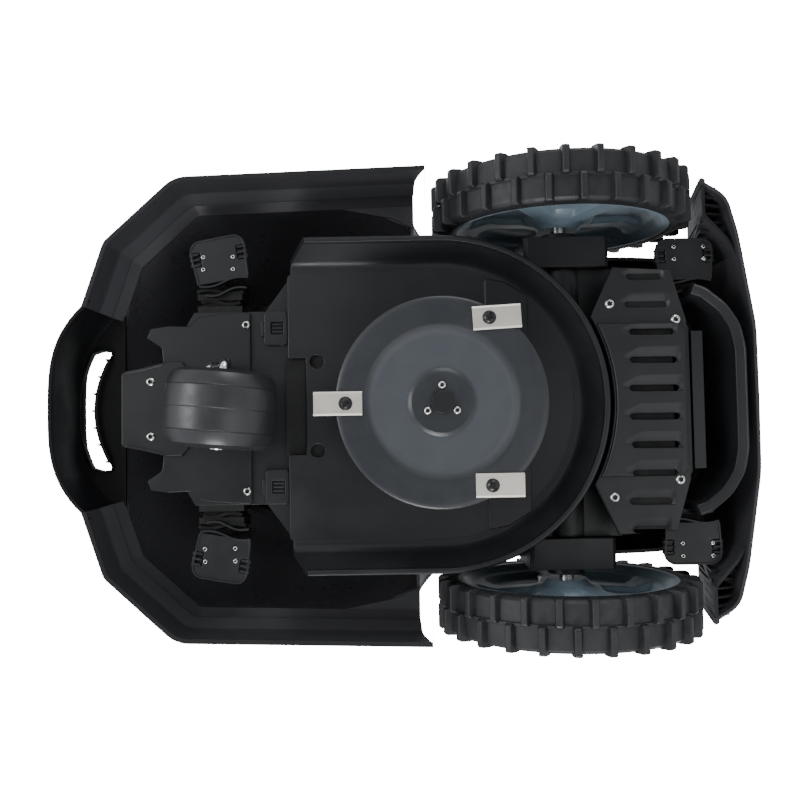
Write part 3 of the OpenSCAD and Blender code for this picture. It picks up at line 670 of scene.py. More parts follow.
# Along the mower: half width at the foot, then crown height.
HOOD_WIDTH = [(-238, 52), (-234.5, 82), (-227, 113), (-216, 130), (-196, 150), (-178, 163.5),
              (-160, 170), (-140, 171.5), (-60, 171), (-25, 166), (12, 152), (55, 133.5),
              (90, 132), (200, 131), (236, 129), (256, 121), (264, 104), (268, 70)]
HOOD_CROWN = [(-238, 128), (-228, 150), (-210, 174), (-185, 198), (-150, 219), (-110, 234),
              (-70, 242), (-20, 244), (120, 244), (170, 238), (205, 226), (235, 205),
              (256, 178), (268, 160)]


def hood_solid(name, inset):
    """The body's outside as one loft from nose to tail, drawn in by inset."""
    stations = [-238, -236, -233, -229, -224, -218, -210, -200, -190, -178, -165, -150, -132,
                -112, -90, -65, -40, -18, 5, 25, 45, 65, 90, 120, 150, 175, 195, 212, 226, 238,
                248, 256, 262, 266, 268]
    bm = bmesh.new()
    rings = []
    around = 40
    for y in stations:
        width = smooth_at(HOOD_WIDTH, y) - inset
        crown = smooth_at(HOOD_CROWN, y) - inset
        foot = (HOOD_Z if y < 30 else 156) - (2 if inset > 1.5 else 0)
        shift = inset * max(-1.0, min(1.0, -y / 238)) ** 3
        ring = []
        for k in range(around + 1):
            a = math.pi * k / around
            c, s = math.cos(a), math.sin(a)
            x = width * math.copysign(abs(c) ** 0.62, c)
            z = foot + (crown - foot) * abs(s) ** 0.80
            ring.append(bm.verts.new((x, y + shift, z)))
        rings.append(ring)
    for one, two in zip(rings, rings[1:]):
        bridge(bm, one, two)
    bm.faces.new(rings[0])
    bm.faces.new(rings[-1][::-1])
    return object_from(bm, name)


def seam(tool):
    """The part of tool that cuts a shallow groove in the hood."""
    return cut(tool, hood_solid("groove_bed", GROOVE))


def arch_lip():
    """Raised lip round the front half of the wheel arch, standing proud of the hood."""
    ring = lathe("lip_ring", [(ARCH_R, 134.5), (ARCH_R + 6.5, 134.5), (ARCH_R + 6.5, 190),
                              (ARCH_R, 190)], 128, "X", (0, AXLE_Y, WHEEL_R))
    shaped(ring, "INTERSECT", hood_solid("lip_form", -1.5))
    return cut(ring, hood_solid("lip_bed", 2.4))


def hood():
    outer = hood_solid("hood_outer", 0)
    inner = hood_solid("hood_inner", HOOD_WALL)
    housing = wheel_hole("housing", ARCH_R + 2.5, 131)
    cut(inner, mirrored(housing, "housing_right"), housing)
    arch = wheel_hole("arch", ARCH_R, ARCH_IN)
    opening = block("opening", box_outline(0, 30, 138, 211.6, 43, 10), 190, 280)
    cut(outer, inner, mirrored(arch, "arch_right"), arch, opening)
    waist = seam(block("waist", box_outline(0, 0, 420, 600, 1), 131.6, 132.8))
    flanks = [seam(along_x("flank", x - 0.6, x + 0.6, [(-262, 140), (275, 140), (275, 270),
                                                      (-262, 270)])) for x in (-84, 84)]
    vents = [block("vent", box_outline(9 * k, 266, 4, 30, 1.9, 4), 170, 188) for k in range(-5, 6)]
    cut(outer, waist, *flanks, *vents)
    lip = arch_lip()
    return shade(merged("hood_form", [outer, mirrored(lip, "lip_right"), lip]), 30)


def along_x(name, x0, x1, side):
    """A prism along X from a side outline of (y, z) points."""
    prism = block(name, side, x0, x1)
    prism.data.transform(Matrix(((0, 0, 1, 0), (1, 0, 0, 0), (0, 1, 0, 0), (0, 0, 0, 1))))
    return prism


def shell_posts():
    """Sockets that reach from the suspension rods to the inside of the hood."""
    parts = [lathe("post", [(4.2, 104), (9, 104), (9, 118), (7.5, 121), (7.5, top), (4.2, top)], 40,
                   at=(x, y, 0)) for x, y, top in POSTS]
    return shade(merged("posts_form", with_twins(parts)), 40)


def rear_bumper():
    outline = rounded([(0, 276), (57, 275.6), (130, 264), (160, 256), (173, 235)],
                      [120, 120, 22], 8)
    line = outline[::-1] + [(-x, y) for x, y in outline[1:]]
    section = [(-0.4, 67.2), (0, 69), (0.4, 140), (2.4, 152), (7, 157.6), (9, 157.6), (9, 155),
               (5.2, 150), (3.4, 139), (3, 69), (2.6, 66.4), (0.6, 66)]
    wheel_side = [(150, 55), (234.8, 60), (255.4, 160), (150, 165)]
    trims = [along_x("trim", *ends, wheel_side) for ends in ((135, 180), (-180, -135))]
    parts = [cut(sweep("bumper_band", line, section), *trims)]
    shade(parts[0], 40)
    half = [along_x("wing_front", 145, 172, [(236, 66), (238.4, 66), (257, 153.5), (257, 156),
                                             (254.6, 156)])]
    half += [block("wing_inner", [(145, 238), (148, 239), (128, 257), (112, 267), (108, 267.6),
                                  (126, 255.4)], 71, 155)]
    half += [block("wing_top", [(162, 252), (150, 256), (143, 256), (112, 267), (152, 258)],
                   152, 155)]
    for k in range(6):
        x = 168.5 - 6.6 * k
        rear = 268 - 0.42 * (x - 130) - (2.5 if k == 0 else 0)
        half.append(block("wing_rib", [(x, 236), (x + 1.5, 236), (x - 0.5, rear), (x - 2, rear)],
                          72 + 2 * k, 154))
    for part in half:
        cut(part, along_x("trim", 90, 190, wheel_side))
    half.append(tube("wing_hook", [(171.5, 236.4, 66), (171.5, 254, 150)], 2.6))
    parts += with_twins(half)
    shelf_line = both([(0, 274), (57, 273.6), (130, 262), (133, 254), (108, 258), (60, 264),
                       (0, 265)])
    parts.append(slab("shelf", shelf_line, 153, 157.6, edge=1))
    return merged("bumper_form", parts)


# ---------------------------------------------------------------- wheels

def tyre():
    """Carcass with two rows of staggered paddle lugs."""
    w = WHEEL_W
    profile = [(HUB_R, 1), (HUB_R, w - 1), (91, w - 0.4), (96, w - 1.0), (98.2, w - 2.2),
               (TREAD_R, w - 4), (TREAD_R + 0.3, w / 2 + 1.6), (TREAD_R + 1.6, w / 2 + 1.0),
               (TREAD_R + 1.6, w / 2 - 1.0), (TREAD_R + 0.3, w / 2 - 1.6), (TREAD_R, 4),
               (98.2, 2.2), (96, 1.0), (91, 0.4)]
    carcass = shade(lathe("carcass", profile, 156))
    bm = bmesh.new()
    for row in (0, 1):
        outside, inside = ((0.0, w / 2 + 0.6), (w, w / 2 - 0.6))[row]
        into = 1 if row == 0 else -1
        shape = [(outside + into * 0.5, 91.5), (outside, 97), (outside, 103.0),
                 (outside + into * 1.4, WHEEL_R), (inside - into * 1.8, WHEEL_R),
                 (inside - into * 0.2, 103.4), (inside, TREAD_R - 1.5)]
        for i in range(LUGS):
            middle = (i + 0.5 * row) * 2 * math.pi / LUGS
            faces = []
            for side in (-1, 1):
                ring = []
                for x, r in shape:
                    lift = max(0, (r - TREAD_R + 1.5) / (WHEEL_R - TREAD_R + 1.5))
                    half = math.radians(2.6 - 1.35 * lift ** 0.6)
                    ring.append(bm.verts.new((*polar(r, middle + side * half), x)))
                faces.append(ring)
            bm.faces.new(faces[0][::-1])
            bm.faces.new(faces[1])
            bridge(bm, *faces)
    lugs = soften(object_from(bm, "lugs"), 0.7, 25, 2)
    whole = merged("tyre_form", [carcass, lugs])
    whole.data.transform(spot(WHEEL_IN, AXLE_Y, WHEEL_R) @ ALONG_X)
    return whole


def ease(x):
    x = max(0.0, min(1.0, x))
    return x * x * (3 - 2 * x)


def petal(r, angle, count, inner, outer, gap):
    """1 inside a rounded petal between two spokes, 0 outside."""
    step = 2 * math.pi / count
    off = abs((angle + step / 2) % step - step / 2)
    edge = step / 2 - gap / r
    across = ease((edge - off) * r / 4)
    return across * ease((r - inner) / 5) * ease((outer - r) / 5)


def hub():
    """Dished wheel with five petals on each face."""
    radii = [6, 10, 14, 16, 18, 20, 22, 25, 28, 31, 34, 38, 42, 46, 50, 54, 58, 62, 66, 70, 73,
             76, 78, 80, 82, 83.5, 85, 87, HUB_R]
    steps = 180
    inner_face = [(6, 2), (16, 2), (20, 6), (30, 9), (60, 12), (78, 7), (84, 1.6), (90, 1.2)]
    outer_face = [(6, 36), (15, 36), (19, 33), (26, 24), (60, 21), (78, 30), (84, 38.6),
                  (90, 39.6)]

    def height(table, r):
        for (r0, h0), (r1, h1) in zip(table, table[1:]):
            if r <= r1:
                return h0 + (h1 - h0) * (r - r0) / (r1 - r0)
        return table[-1][1]

    bm = bmesh.new()
    sheets = []
    for table, sink, outer in ((inner_face, 4.0, 74), (outer_face, -6.0, 76)):
        rows = []
        for r in radii:
            row = []
            for k in range(steps):
                a = 2 * math.pi * k / steps
                h = height(table, r) + sink * petal(r, a, PETALS, 26, outer, 6 + 0.06 * r)
                row.append(bm.verts.new((*polar(r, a), h)))
            rows.append(row)
        sheets.append(rows)
        for one, two in zip(rows, rows[1:]):
            bridge(bm, one, two)
    for index in (0, -1):
        bridge(bm, sheets[0][index], sheets[1][index])
    bm.transform(Matrix.Translation((WHEEL_IN, AXLE_Y, WHEEL_R)) @ ALONG_X)
    return shade(object_from(bm, "hub_form"), 38)


def caster_wheel():
    """Barrel with moulded seams at its shoulders and a fine parting line."""
    half, r = CASTER_W / 2, CASTER_R
    side = [(3.6, half - 3), (13, half - 3), (14.4, half - 2.2), (15.5, half), (r - 13, half),
            (r - 9, half - 0.6), (r - 5, half - 3), (r - 2.6, half - 7), (r - 1.2, half - 12),
            (r - 1.5, half - 12.6), (r - 0.9, half - 13.2), (r, 5), (r, 0.4), (r - 0.2, 0)]
    profile = side + [(a, -b) for a, b in reversed(side[:-1])]
    wheel = shade(lathe("caster_form", profile, 96, "X"), 26)
    wheel.data.transform(spot(0, CASTER_Y, 0, CASTER_TURN) @ spot(0, CASTER_TRAIL, CASTER_R))
    return wheel


def caster_fork():
    """One bent bar: down the swivel, out over the wheel, down its side and through it."""
    side, trail = CASTER_W / 2 + 7, CASTER_TRAIL
    bar = tube("fork_form", [(0, 0, 136), (0, 0, 81), (side, 8, 81), (side, trail, 62),
                             (side, trail, CASTER_R), (-side + 9, trail, CASTER_R)], 3.5)
    face = -CASTER_W / 2
    cap = lathe("axle_cap", [(0, face - 1.6), (6.4, face - 1.2), (7.4, face + 0.4),
                             (7.4, face + 3.2), (0, face + 3.2)], 32, "X", (0, trail, CASTER_R))
    whole = merged("fork", [bar, shade(cap)])
    whole.data.transform(spot(0, CASTER_Y, 0, CASTER_TURN))
    return whole


# ---------------------------------------------------------------- cutting deck

def deck():
    wall = [(5.4, 60.6), (4.4, 58.6), (2.6, 58), (0.8, 58.6), (0, 60.4), (0.8, 62.4), (2.4, 64.4),
            (13.5, DECK_Z + 1), (16, DECK_Z + 2.6), (24, DECK_Z + 3), (24, DECK_Z),
            (20, DECK_Z - 0.3), (17.2, DECK_Z - 1.6), (15.2, DECK_Z - 4), (6.2, 63.4),
            (5.2, 62)]
    path = [(DECK_R, DECK_FRONT)] + arc(0, DISC_Y, DECK_R, 0, 180, 90) + [(-DECK_R, DECK_FRONT)]
    rim = cut(sweep("deck_rim", path, wall),
              along_x("end_cut", -140, 140, [(-110, 40), (-76, 40), (-76, 58), (-90, 82),
                                             (-92.6, 90), (-110, 90)]))
    shade(rim, 40)
    floor_line = both([(0, DECK_FRONT + 14), (38.5, DECK_FRONT + 14), (38.5, DECK_FRONT),
                       (104, DECK_FRONT), (110, DECK_FRONT + 6)] + arc(0, DISC_Y, 110, 0, 90, 40))
    holes = [circle(0, DISC_Y, 33)] + [circle(x, HOLE_Y, 5.4, 32) for x in (HOLE_X, -HOLE_X)]
    floor = slab("deck_floor", floor_line, DECK_Z, DECK_Z + 3, holes, 0.8)
    strip_line = both([(0, 65)] + [(98, 65), (100, 67), (97, 81), (86, 99), (0, 99)])
    strip = slab("strip", strip_line, DECK_Z - 2.2, DECK_Z + 1, edge=1.0)
    return merged("deck_form", [rim, floor, strip])


def deck_shadows():
    """Black pieces behind the deck's two round holes and its front notch: painted shade in these
    openings.
    """
    parts = [slab("hole_shade", circle(x, HOLE_Y, 6.5, 24), DECK_Z + 3.2, DECK_Z + 4.4)
             for x in (HOLE_X, -HOLE_X)]
    parts.append(slab("notch_shade", box_outline(0, -87.6, 77.4, 16.4, 1), 87.2, 88.6))
    return merged("deck_painted_shade", parts)


def blade_disc():
    """Dished disc with a stepped hub and a shallow pocket at each blade screw."""
    z = DISC_Z
    under = [(0, z + 1.2), (20, z + 1.2), (23, z + 0.8), (24.4, z + 1.4), (26, z + 2.6),
             (50, z + 2.9), (55, z + 2.2), (57.5, z + 0.4), (60, z), (64, z), (68, z), (72, z),
             (76, z), (78.5, z + 0.2), (80, z + 1.2)]
    top = [(80, z + 4.4), (79, z + 5), (56, z + 7), (24, z + 8), (9, z + 8), (9, z + 16.5),
           (0, z + 16.5)]
    disc = lathe("disc_form", under + top, 180, at=(0, DISC_Y, 0))
    for vert in disc.data.vertices:
        if vert.co.z > (z + 2) * MM:
            continue
        for a in BLADE_ANGLES:
            cx, cy = on_disc(BLADE_SCREW_R, a)
            away = math.hypot(vert.co.x - cx * MM, vert.co.y - cy * MM) / MM
            vert.co.z += 0.9 * MM * ease((11 - away) / 3)
    return shade(disc, 30)


def blade(node, angle, rest):
    """Flat blade with a ground bevel along each long edge."""
    length, width, tail = 36.5, 18, 12.5
    z = DISC_Z - 1.4
    bm = bmesh.new()
    across = [(-width / 2, 0.55), (-width / 2 + 1.5, 0), (width / 2 - 1.5, 0), (width / 2, 0.55),
              (width / 2, 0.75), (-width / 2, 0.75)]
    ends = [[bm.verts.new((x, y, z + h)) for y, h in across] for x in (-tail, length - tail)]
    bridge(bm, *ends)
    bm.faces.new(ends[0])
    bm.faces.new(ends[1][::-1])
    plate = cut(object_from(bm, node + "_plate"),
                lathe("blade_hole", [(0, z - 2), (3.1, z - 2), (3.1, z + 3), (0, z + 3)], 32))
    plate.data.transform(spot(0, DISC_Y, 0, angle) @ spot(BLADE_SCREW_R, 0, 0, rest - angle))
    return plate


def cross_screw(x, y, z, r, height, turn):
    """Pan head facing down, with a cross recess."""
    head = lathe("cross_head", [(0, z), (0.55 * r, z), (0.84 * r, z + 0.22 * r), (r, z + 0.5 * r),
                                (r, z + height), (0.56 * r, z + height), (0.56 * r, z + height + 6),
                                (0, z + height + 6)], 40, at=(x, y, 0))
    slots = []
    for a in (turn, turn + 90):
        slot = block("cross_slot", box_outline(0, 0, 1.24 * r, 0.3 * r, 0.1 * r, 2), z - 0.5,
                     z + 0.34 * r)
        slot.data.transform(spot(x, y, 0, a))
        slots.append(slot)
    return shade(cut(head, *slots), 40)


def blade_screws():
    return merged("blade_screw_form", [
        cross_screw(*on_disc(BLADE_SCREW_R, a), DISC_Z - 4, 5.2, 2.3, a * 0.4)
        for a in BLADE_ANGLES])


# ---------------------------------------------------------------- underside covers

def louvre(x, y, length, z, depth):
    """The hollow of one louvre, to be cut from the cover: a steep wall on one side, a gentle
    slope on the other, and a point towards the nose."""
    across = [(-5, -0.5), (-4.8, 0.7), (-4.2, 0.96), (-2, 1), (0.5, 0.72), (4, 0.3), (8, 0),
              (8, -0.5)]
    bm = bmesh.new()
    rings = []
    for k in range(17):
        t = k / 16
        grow = ease(t * 3.4) * (1 - 0.9 * ease((t - 0.93) / 0.07))
        narrow = 0.35 + 0.65 * ease(t * 3)
        rings.append([bm.verts.new((x + u * narrow, y - length / 2 + length * t,
                                    z + depth * h * (grow if h > 0 else 1))) for u, h in across])
    for one, two in zip(rings, rings[1:]):
        bridge(bm, one, two)
    bm.faces.new(rings[0])
    bm.faces.new(rings[-1][::-1])
    return object_from(bm, "louvre")


def rear_cover():
    bay = [p for p in arc(0, DISC_Y, DECK_R + 3.2, 61, 90, 14)][::-1]
    outline = both(bay + [(104, 163), (101, 208), (62, 219.5)])
    base = slab("cover_base", outline, 62, 66, edge=1.2)
    inner = arc(0, DISC_Y, DECK_R + 4.4, 64, 90, 14)[::-1]
    corner = rounded([inner[-1], (59, 156), (59, 217), (0, 217)], [4, 9])
    pad = slab("cover_pad", both(inner[:-1] + corner), 58.4, 63, edge=1.6, resolution=3)
    for k, (y, length) in enumerate(((191, 46), (191, 44), (190, 42), (187, 40), (186, 34))):
        for side in (1, -1):
            x = side * (k + 0.5) * LOUVRE_PITCH
            plate, z, depth = (pad, 58.4, 4.2) if k < 3 else (base, 62, 3.2)
            cut(plate, louvre(x, y, length, z, depth))
            slot = box_outline(x - 2.1, y + 1.5, 5, length - 7, 2.4, 4)
            cut(pad, block("slot", slot, 50, 80))
            cut(base, block("slot", slot, 50, 80))
    return shade(merged("cover_form", [base, pad]), 34)


def louvre_shade_sheet():
    """Black sheet behind the slots of the louvres: painted shade in their hollows."""
    return slab("louvre_painted_shade", box_outline(0, 189, 200, 40, 6), 64.8, 65.6, edge=0.3)


def suspension_cap(cx, cy, w, h, turn):
    """Rounded plate: two clip windows at its ends, and a wavy lip towards the chassis."""
    wave = [(-w / 2 - 1.5 + 1.8 * math.sin(k / 12 * 2 * math.pi), h / 2 - 3 - (h - 6) * k / 12)
            for k in range(13)]
    outline = rounded([(-w / 2, 0)] + [(-w / 2, -h / 2 + 2), (w / 2, -h / 2), (w / 2, h / 2),
                                       (-w / 2, h / 2 - 2), (-w / 2, 0.1)], [2, 9, 9, 2])
    windows = [box_outline(3, s * (h / 2 - 4.6), 11, 7, 1, 3) for s in (1, -1)]
    parts = [slab("cap_plate", outline, 86, 90, windows, 1.0),
             slab("cap_back", box_outline(1, 0, w - 5, h - 4, 7), 89, 90, edge=0.3)]
    parts.append(sweep("cap_lip", outline[1:-1], [(0, 85.2), (1.4, 85.2), (1.7, 86.6), (-0.1, 86.6)]))
    for shift, drop in ((0, 0), (-7.5, 2.5)):
        line = [(x + shift, y * (1 - 0.02 * abs(shift))) for x, y in wave]
        parts.append(shade(sweep("wave", line, [(0, 84.8 + drop), (1.5, 84.8 + drop),
                                                (1.7, 90 + drop), (-0.2, 90 + drop)])))
    for s in (1, -1):
        for x in (-1.4, 3, 7.4):
            parts.append(slab("clip", box_outline(x, s * (h / 2 - 3.6), 2.0, 8, 0.8, 3), 85.4, 90.5,
                              edge=0.5))
        parts.append(slab("clip_bar", box_outline(3, s * (h / 2 - 1.2), 11, 1.6, 0.6, 3), 86, 90.5,
                          edge=0.4))
    whole = merged("cap", parts)
    whole.data.transform(spot(cx, cy, 0, turn))
    return whole


def suspension_caps():
    return merged("caps_form", with_twins([suspension_cap(120, -148, 36, 46, -10),
                                           suspension_cap(114, 227.5, 34, 47, 0)]))


def cap_screws():
    return merged("cap_screw_form", [
        torx_screw("tiny", side * (x + 4) + 5 * sx, y + 12 * sy, 84.7, 1.9, 1.2, 1)
        for x, y, _ in POSTS for side in (1, -1) for sx in (1, -1) for sy in (1, -1)])


def bellows(x, y, reach):
    """Wavy rubber boot between the chassis and a suspension cap."""
    parts = []
    for k in range(4):
        half = 19 - 1.6 * k
        line = [(x + reach * (1 - k / 4) + 1.8 * math.sin(j / 12 * 2 * math.pi),
                 y - half + 2 * half * j / 12) for j in range(13)]
        parts.append(shade(sweep("fold", line, [(0, 91 + k), (2.6, 92 + k), (2.6, 116),
                                                (0, 118)])))
    return parts


def boots():
    folds = with_twins(bellows(79, -149, 17) + bellows(90.5, 217, 5.5))
    return merged("boots_form", folds + [moulded("suspension_boots")])


def front_plate():
    half = [(26, -197), (39, -195), (49.5, -196), (57.5, -208), (65.3, -205), (67.3, -190),
            (66.5, -172), (73.5, -166), (76, -150), (77.5, -124)]
    whole = rounded([(0, -197)] + half + [(0, -124)], [0, 5, 5, 2, 2, 4, 3, 4, 0, 2.5])
    return slab("plate_form", both(whole), 89, 92, edge=0.9)


def latch_doors():
    parts = []
    for s in (1, -1):
        window = box_outline(64 * s, -102.5, 10, 10, 1.2, 4)
        parts.append(slab("door", box_outline(64 * s, -103.5, 28, 19, 3), 89.3, 92, [window], 0.6))
        parts.append(slab("ledge", box_outline(64 * s, -114.4, 13, 2.6, 0.8, 3), 89.6, 92, edge=0.4))
        parts += [slab("catch", box_outline(64 * s + 3 * k, -102.5, 1.6, 9, 0.6, 3), 90, 91.6,
                       edge=0.4) for k in (-1, 0, 1)]
    return merged("doors_form", parts)


def caster_bracket():
    half = rounded([(0, -227.8), (29.7, -227.8), (32.5, -212), (38, -192), (38, -180), (31, -174),
                    (0, -174)], [3, 24, 4, 3, 3])
    plate = slab("bracket_plate", both(half), 85.8, 89, edge=1.0)
    flange = [sweep("flange", [(30.4, -224), (33, -210), (37, -194)],
                    [(0, 84.6), (1.6, 84.6), (1.8, 88), (0, 88)])]
    flange.append(mirrored(flange[0], "flange_right"))
    collar = slab("collar", box_outline(0, -211, 52, 26, 4), 88.5, 92, edge=0.8)
    return merged("bracket_form", [plate, *flange, collar])


def dock_rim():
    half = [(0, 265), (40, 265), (58, 261), (74, 251), (87, 235), (90, 226)]
    outer = rounded(half, [60, 34, 40, 20], 8)
    path = outer[::-1] + [(-x, y) for x, y in outer[1:]]
    section = [(0, 62), (0.5, 60.6), (1.4, 60), (2.0, 60.6), (7.2, 61), (8.4, 61.6), (9, 63),
               (10, 132), (0.6, 132)]
    wall = shade(sweep("dock_wall", path, section), 36)
    roof = slab("dock_roof", both([(0, 226), (84, 226), (80, 236), (70, 248), (54, 256), (0, 258)]),
                127, 131, edge=1)
    return merged("dock_form", [wall, roof])


def chassis_screws():
    parts = []
    for s in (1, -1):
        for x, y, z, r, height in ((75, 160, 60.0, 3.9, 2.2), (62, 211, 60.0, 3.9, 2.2),
                                   (67, -127.5, 87.0, 3.5, 2), (22, -204, 84.1, 3.6, 1.9)):
            parts.append(torx_screw("torx", s * x, y, z, r, height, 4))
    return merged("chassis_screw_form", parts)


def hub_screws():
    return merged("hub_screw_form", [
        torx_screw("hub_screw", *on_disc(12.8, a), DISC_Z - 1, 3.0, 1.8, 1)
        for a in (0, 120, 240)])


# ---------------------------------------------------------------- controls

def stop_button():
    r = STOP_D / 2
    profile = [(0, 258.4), (r - 9, 258.8), (r - 6, 259.6), (r - 4.4, 260.8), (r - 2.6, 260.6),
               (r - 0.8, 258.6), (r, 256), (r, 243), (7, 243), (7, 214), (0, 214)]
    return shade(lathe("stop_form", profile, 96, at=(0, STOP_Y, 0)), 40)


def knob():
    bm = bmesh.new()
    steps = 120
    rings = []
    for radius, z in ((0, 243.2), (9, 243.2), (9.6, 246), (11, 246.8), (14.2, 246.6), (15.4, 245.4),
                      (15.4, 240.4), (14.6, 239.4)):
        ring = []
        for k in range(steps):
            a = 2 * math.pi * k / steps
            grip_wave = 1 + (0.055 * math.cos(12 * a) - 0.055) * ease((radius - 11) / 3)
            ring.append(bm.verts.new((*polar(radius * grip_wave, a, 0, KNOB_Y), z)))
        rings.append(ring)
    for one, two in zip(rings, rings[1:]):
        bridge(bm, one, two)
    bm.faces.new(rings[-1])
    bmesh.ops.remove_doubles(bm, verts=bm.verts, dist=0.001)
    body = shade(object_from(bm, "knob_body"), 36)
    bar = slab("knob_bar", box_outline(0, KNOB_Y, 4, 19, 1.6), 242.6, 246.4, edge=0.8)
    return merged("knob_form", [body, bar])


def key(node, x):
    profile = [(0, 241.2), (4.4, 241.4), (5.4, 241.2), (6, 240.4), (6, 234), (3, 234), (3, 230.5),
               (0, 230.5)]
    return shade(lathe(node + "_form", profile, 48, at=(x, -2, 0)), 40)


# ---------------------------------------------------------------- build

for node, obj in frame["nodes"].items():
    for slot_index in range(max(1, len(obj.material_slots))):
        if not obj.material_slots:
            obj.data.materials.append(None)
        obj.material_slots[slot_index].material = MATERIALS[SLOT_OF[node]]

left = skirt()
right = mirrored(left, "skirt_right_form")
dress(left, "skirt_left")
dress(right, "skirt_right")
# the nose bumper takes the darker nose_black: painted shade
dress(nose(), "nose_bumper", "nose_black")
dress_all(("grip_strip", grip), ("hood", hood), ("rear_bumper", rear_bumper),
          ("shell_posts", shell_posts))

rubber = tyre()
dish = hub()
dress(mirrored(rubber, "tyre_right_form"), "tyre_right")
dress(mirrored(dish, "hub_right_form"), "hub_right")
dress(rubber, "tyre_left")
dress(dish, "hub_left")
dress_all(("caster_wheel", caster_wheel), ("deck_skirt", deck), ("blade_disc", blade_disc))
for node, angle, rest in (("blade_1", 270, 270), ("blade_2", 30, 87), ("blade_3", 150, 90)):
    dress(blade(node, angle, rest), node)
dress_all(("blade_screws", blade_screws), ("hub_screws", hub_screws), ("rear_cover", rear_cover),
          ("suspension_caps", suspension_caps), ("cap_screws", cap_screws),
          ("suspension_boots", boots), ("chassis_screws", chassis_screws),
          ("stop_button", stop_button), ("height_knob", knob))
for node, x in (("key_power", -26), ("key_home", 0), ("key_start", 26)):
    dress(key(node, x), node)
dress_all(("front_plate", front_plate), ("latch_doors", latch_doors),
          ("caster_bracket", caster_bracket), ("dock_rim", dock_rim), ("caster_fork", caster_fork))
# black pieces behind the deck's holes and notch, painted shade
detail(deck_shadows(), "chassis", "rubber_black")
# black sheet behind the louvre slots, painted shade
detail(louvre_shade_sheet(), "chassis", "rubber_black")
for node in ("chassis_tub", "chassis_lid", "gearbox_left", "gearbox_right", "contact_block",
             "console", "control_lid", "head_carrier", "blade_motor", "battery_pack", "disc_cap",
             "opening_trim", "charge_contacts"):
    dress(moulded(node), node)


# ---------------------------------------------------------------- floor, light and camera

def pale_floor():
    """Seen from above only, so that the underside can be viewed through it; it fades into
    the white backdrop away from the mower."""
    bm = bmesh.new()
    bmesh.ops.create_grid(bm, x_segments=2, y_segments=2, size=FLOOR_HALF)
    floor = object_from(bm, "floor", scale=1)
    for poly in floor.data.polygons:
        assert poly.normal.z > 0
    mat = bpy.data.materials.new("floor_white")
    mat.use_nodes = True
    nodes, links = mat.node_tree.nodes, mat.node_tree.links
    nodes.remove(nodes["Principled BSDF"])
    paint = nodes.new("ShaderNodeBsdfDiffuse")
    paint.inputs["Color"].default_value = (0.82, 0.82, 0.82, 1)
    clear = nodes.new("ShaderNodeBsdfTransparent")
    side = nodes.new("ShaderNodeNewGeometry")
    pick = nodes.new("ShaderNodeMixShader")
    links.new(side.outputs["Backfacing"], pick.inputs["Fac"])
    far = nodes.new("ShaderNodeEmission")
    far.inputs["Strength"].default_value = BACKDROP
    where = nodes.new("ShaderNodeTexCoord").outputs["Object"]
    fade = spread(nodes, links, vector_math(nodes, links, "LENGTH", where)["Value"], 0, 1, *FADE)
    ground = nodes.new("ShaderNodeMixShader")
    links.new(fade, ground.inputs["Fac"])
    links.new(paint.outputs["BSDF"], ground.inputs[1])
    links.new(far.outputs["Emission"], ground.inputs[2])
    links.new(ground.outputs["Shader"], pick.inputs[1])
    links.new(clear.outputs["BSDF"], pick.inputs[2])
    links.new(pick.outputs["Shader"], nodes["Material Output"].inputs["Surface"])
    floor.data.materials.append(mat)
    for ray in ("visible_shadow", "visible_diffuse", "visible_glossy"):
        setattr(floor, ray, False)


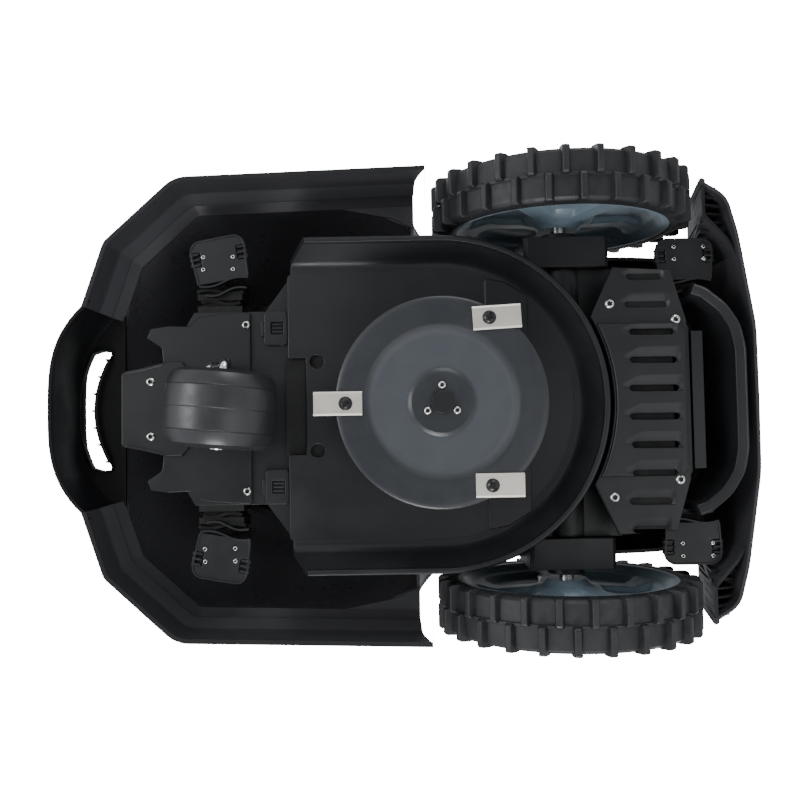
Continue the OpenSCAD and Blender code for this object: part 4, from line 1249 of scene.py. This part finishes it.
def white_world():
    """Soft light from all round, weaker from straight below; the backdrop is white."""
    world = bpy.data.worlds.new("studio")
    bpy.context.scene.world = world
    world.use_nodes = True
    nodes, links = world.node_tree.nodes, world.node_tree.links
    lighting = nodes["Background"]
    lighting.inputs["Color"].default_value = (0.94, 0.97, 1.0, 1)
    height = nodes.new("ShaderNodeSeparateXYZ")
    links.new(nodes.new("ShaderNodeTexCoord").outputs["Generated"], height.inputs["Vector"])
    lower = spread(nodes, links, height.outputs["Z"], BELOW, HORIZON, -0.98, -0.1)
    upper = spread(nodes, links, height.outputs["Z"], 1, ABOVE, -0.05, 0.3)
    links.new(product(nodes, links, lower, upper), lighting.inputs["Strength"])
    seen = nodes.new("ShaderNodeBackground")
    seen.inputs["Color"].default_value = (1, 1, 1, 1)
    seen.inputs["Strength"].default_value = BACKDROP
    path = nodes.new("ShaderNodeLightPath")
    pick = nodes.new("ShaderNodeMixShader")
    links.new(path.outputs["Is Camera Ray"], pick.inputs["Fac"])
    links.new(lighting.outputs["Background"], pick.inputs[1])
    links.new(seen.outputs["Background"], pick.inputs[2])
    links.new(pick.outputs["Shader"], nodes["World Output"].inputs["Surface"])


def area_light(name, place, target, size, power):
    light = bpy.data.lights.new(name, "AREA")
    light.shape = "SQUARE"
    light.size = size
    light.energy = power
    obj = placed(name, light)
    obj.location = place
    obj.rotation_mode = "QUATERNION"
    obj.rotation_quaternion = (Vector(target) - Vector(place)).to_track_quat("-Z", "Y")


def photo_camera():
    """Below the mower, looking up: picture right is the tail, picture up is its left."""
    tilt, roll = 0.044, -0.017
    ct, st, cr, sr = math.cos(tilt), math.sin(tilt), math.cos(roll), math.sin(roll)
    right = Vector((sr * ct, cr, -sr * st))
    down = Vector((-cr * ct, sr, cr * st))
    forward = Vector((st, 0, ct))
    cam = bpy.data.cameras.new("camera")
    cam.sensor_width = 36
    cam.lens = cam.sensor_width * FOCAL_PIXELS / PICTURE_PIXELS
    cam.clip_start = 0.01
    obj = placed("camera", cam)
    basis = Matrix((right, -down, -forward)).transposed()
    obj.rotation_mode = "QUATERNION"
    obj.rotation_quaternion = basis.to_quaternion()
    obj.location = (-0.026, -0.004, -0.595)
    bpy.context.scene.camera = obj


pale_floor()
white_world()
area_light("key_below", (0.5, -0.5, -1.1), (0, 0, 0.1), 0.8, 2)
area_light("fill_below", (-0.5, 0.6, -1.0), (0, 0, 0.1), 1.0, 4)
area_light("side_low", (-1.3, -0.2, -0.6), (0.14, 0.1, 0.08), 0.6, 16)
area_light("far_side_low", (1.2, 0.3, -0.5), (-0.1, 0.0, 0.08), 0.6, 5)
area_light("nose_low", (0.1, -1.2, -0.75), (0, 0.2, 0.08), 0.6, 9)
area_light("key_above", (1.2, -1.3, 1.8), (0, 0, 0.1), 1.2, 22)
area_light("rim_above", (-1.3, 1.2, 1.4), (0, 0, 0.1), 1.0, 12)
photo_camera()
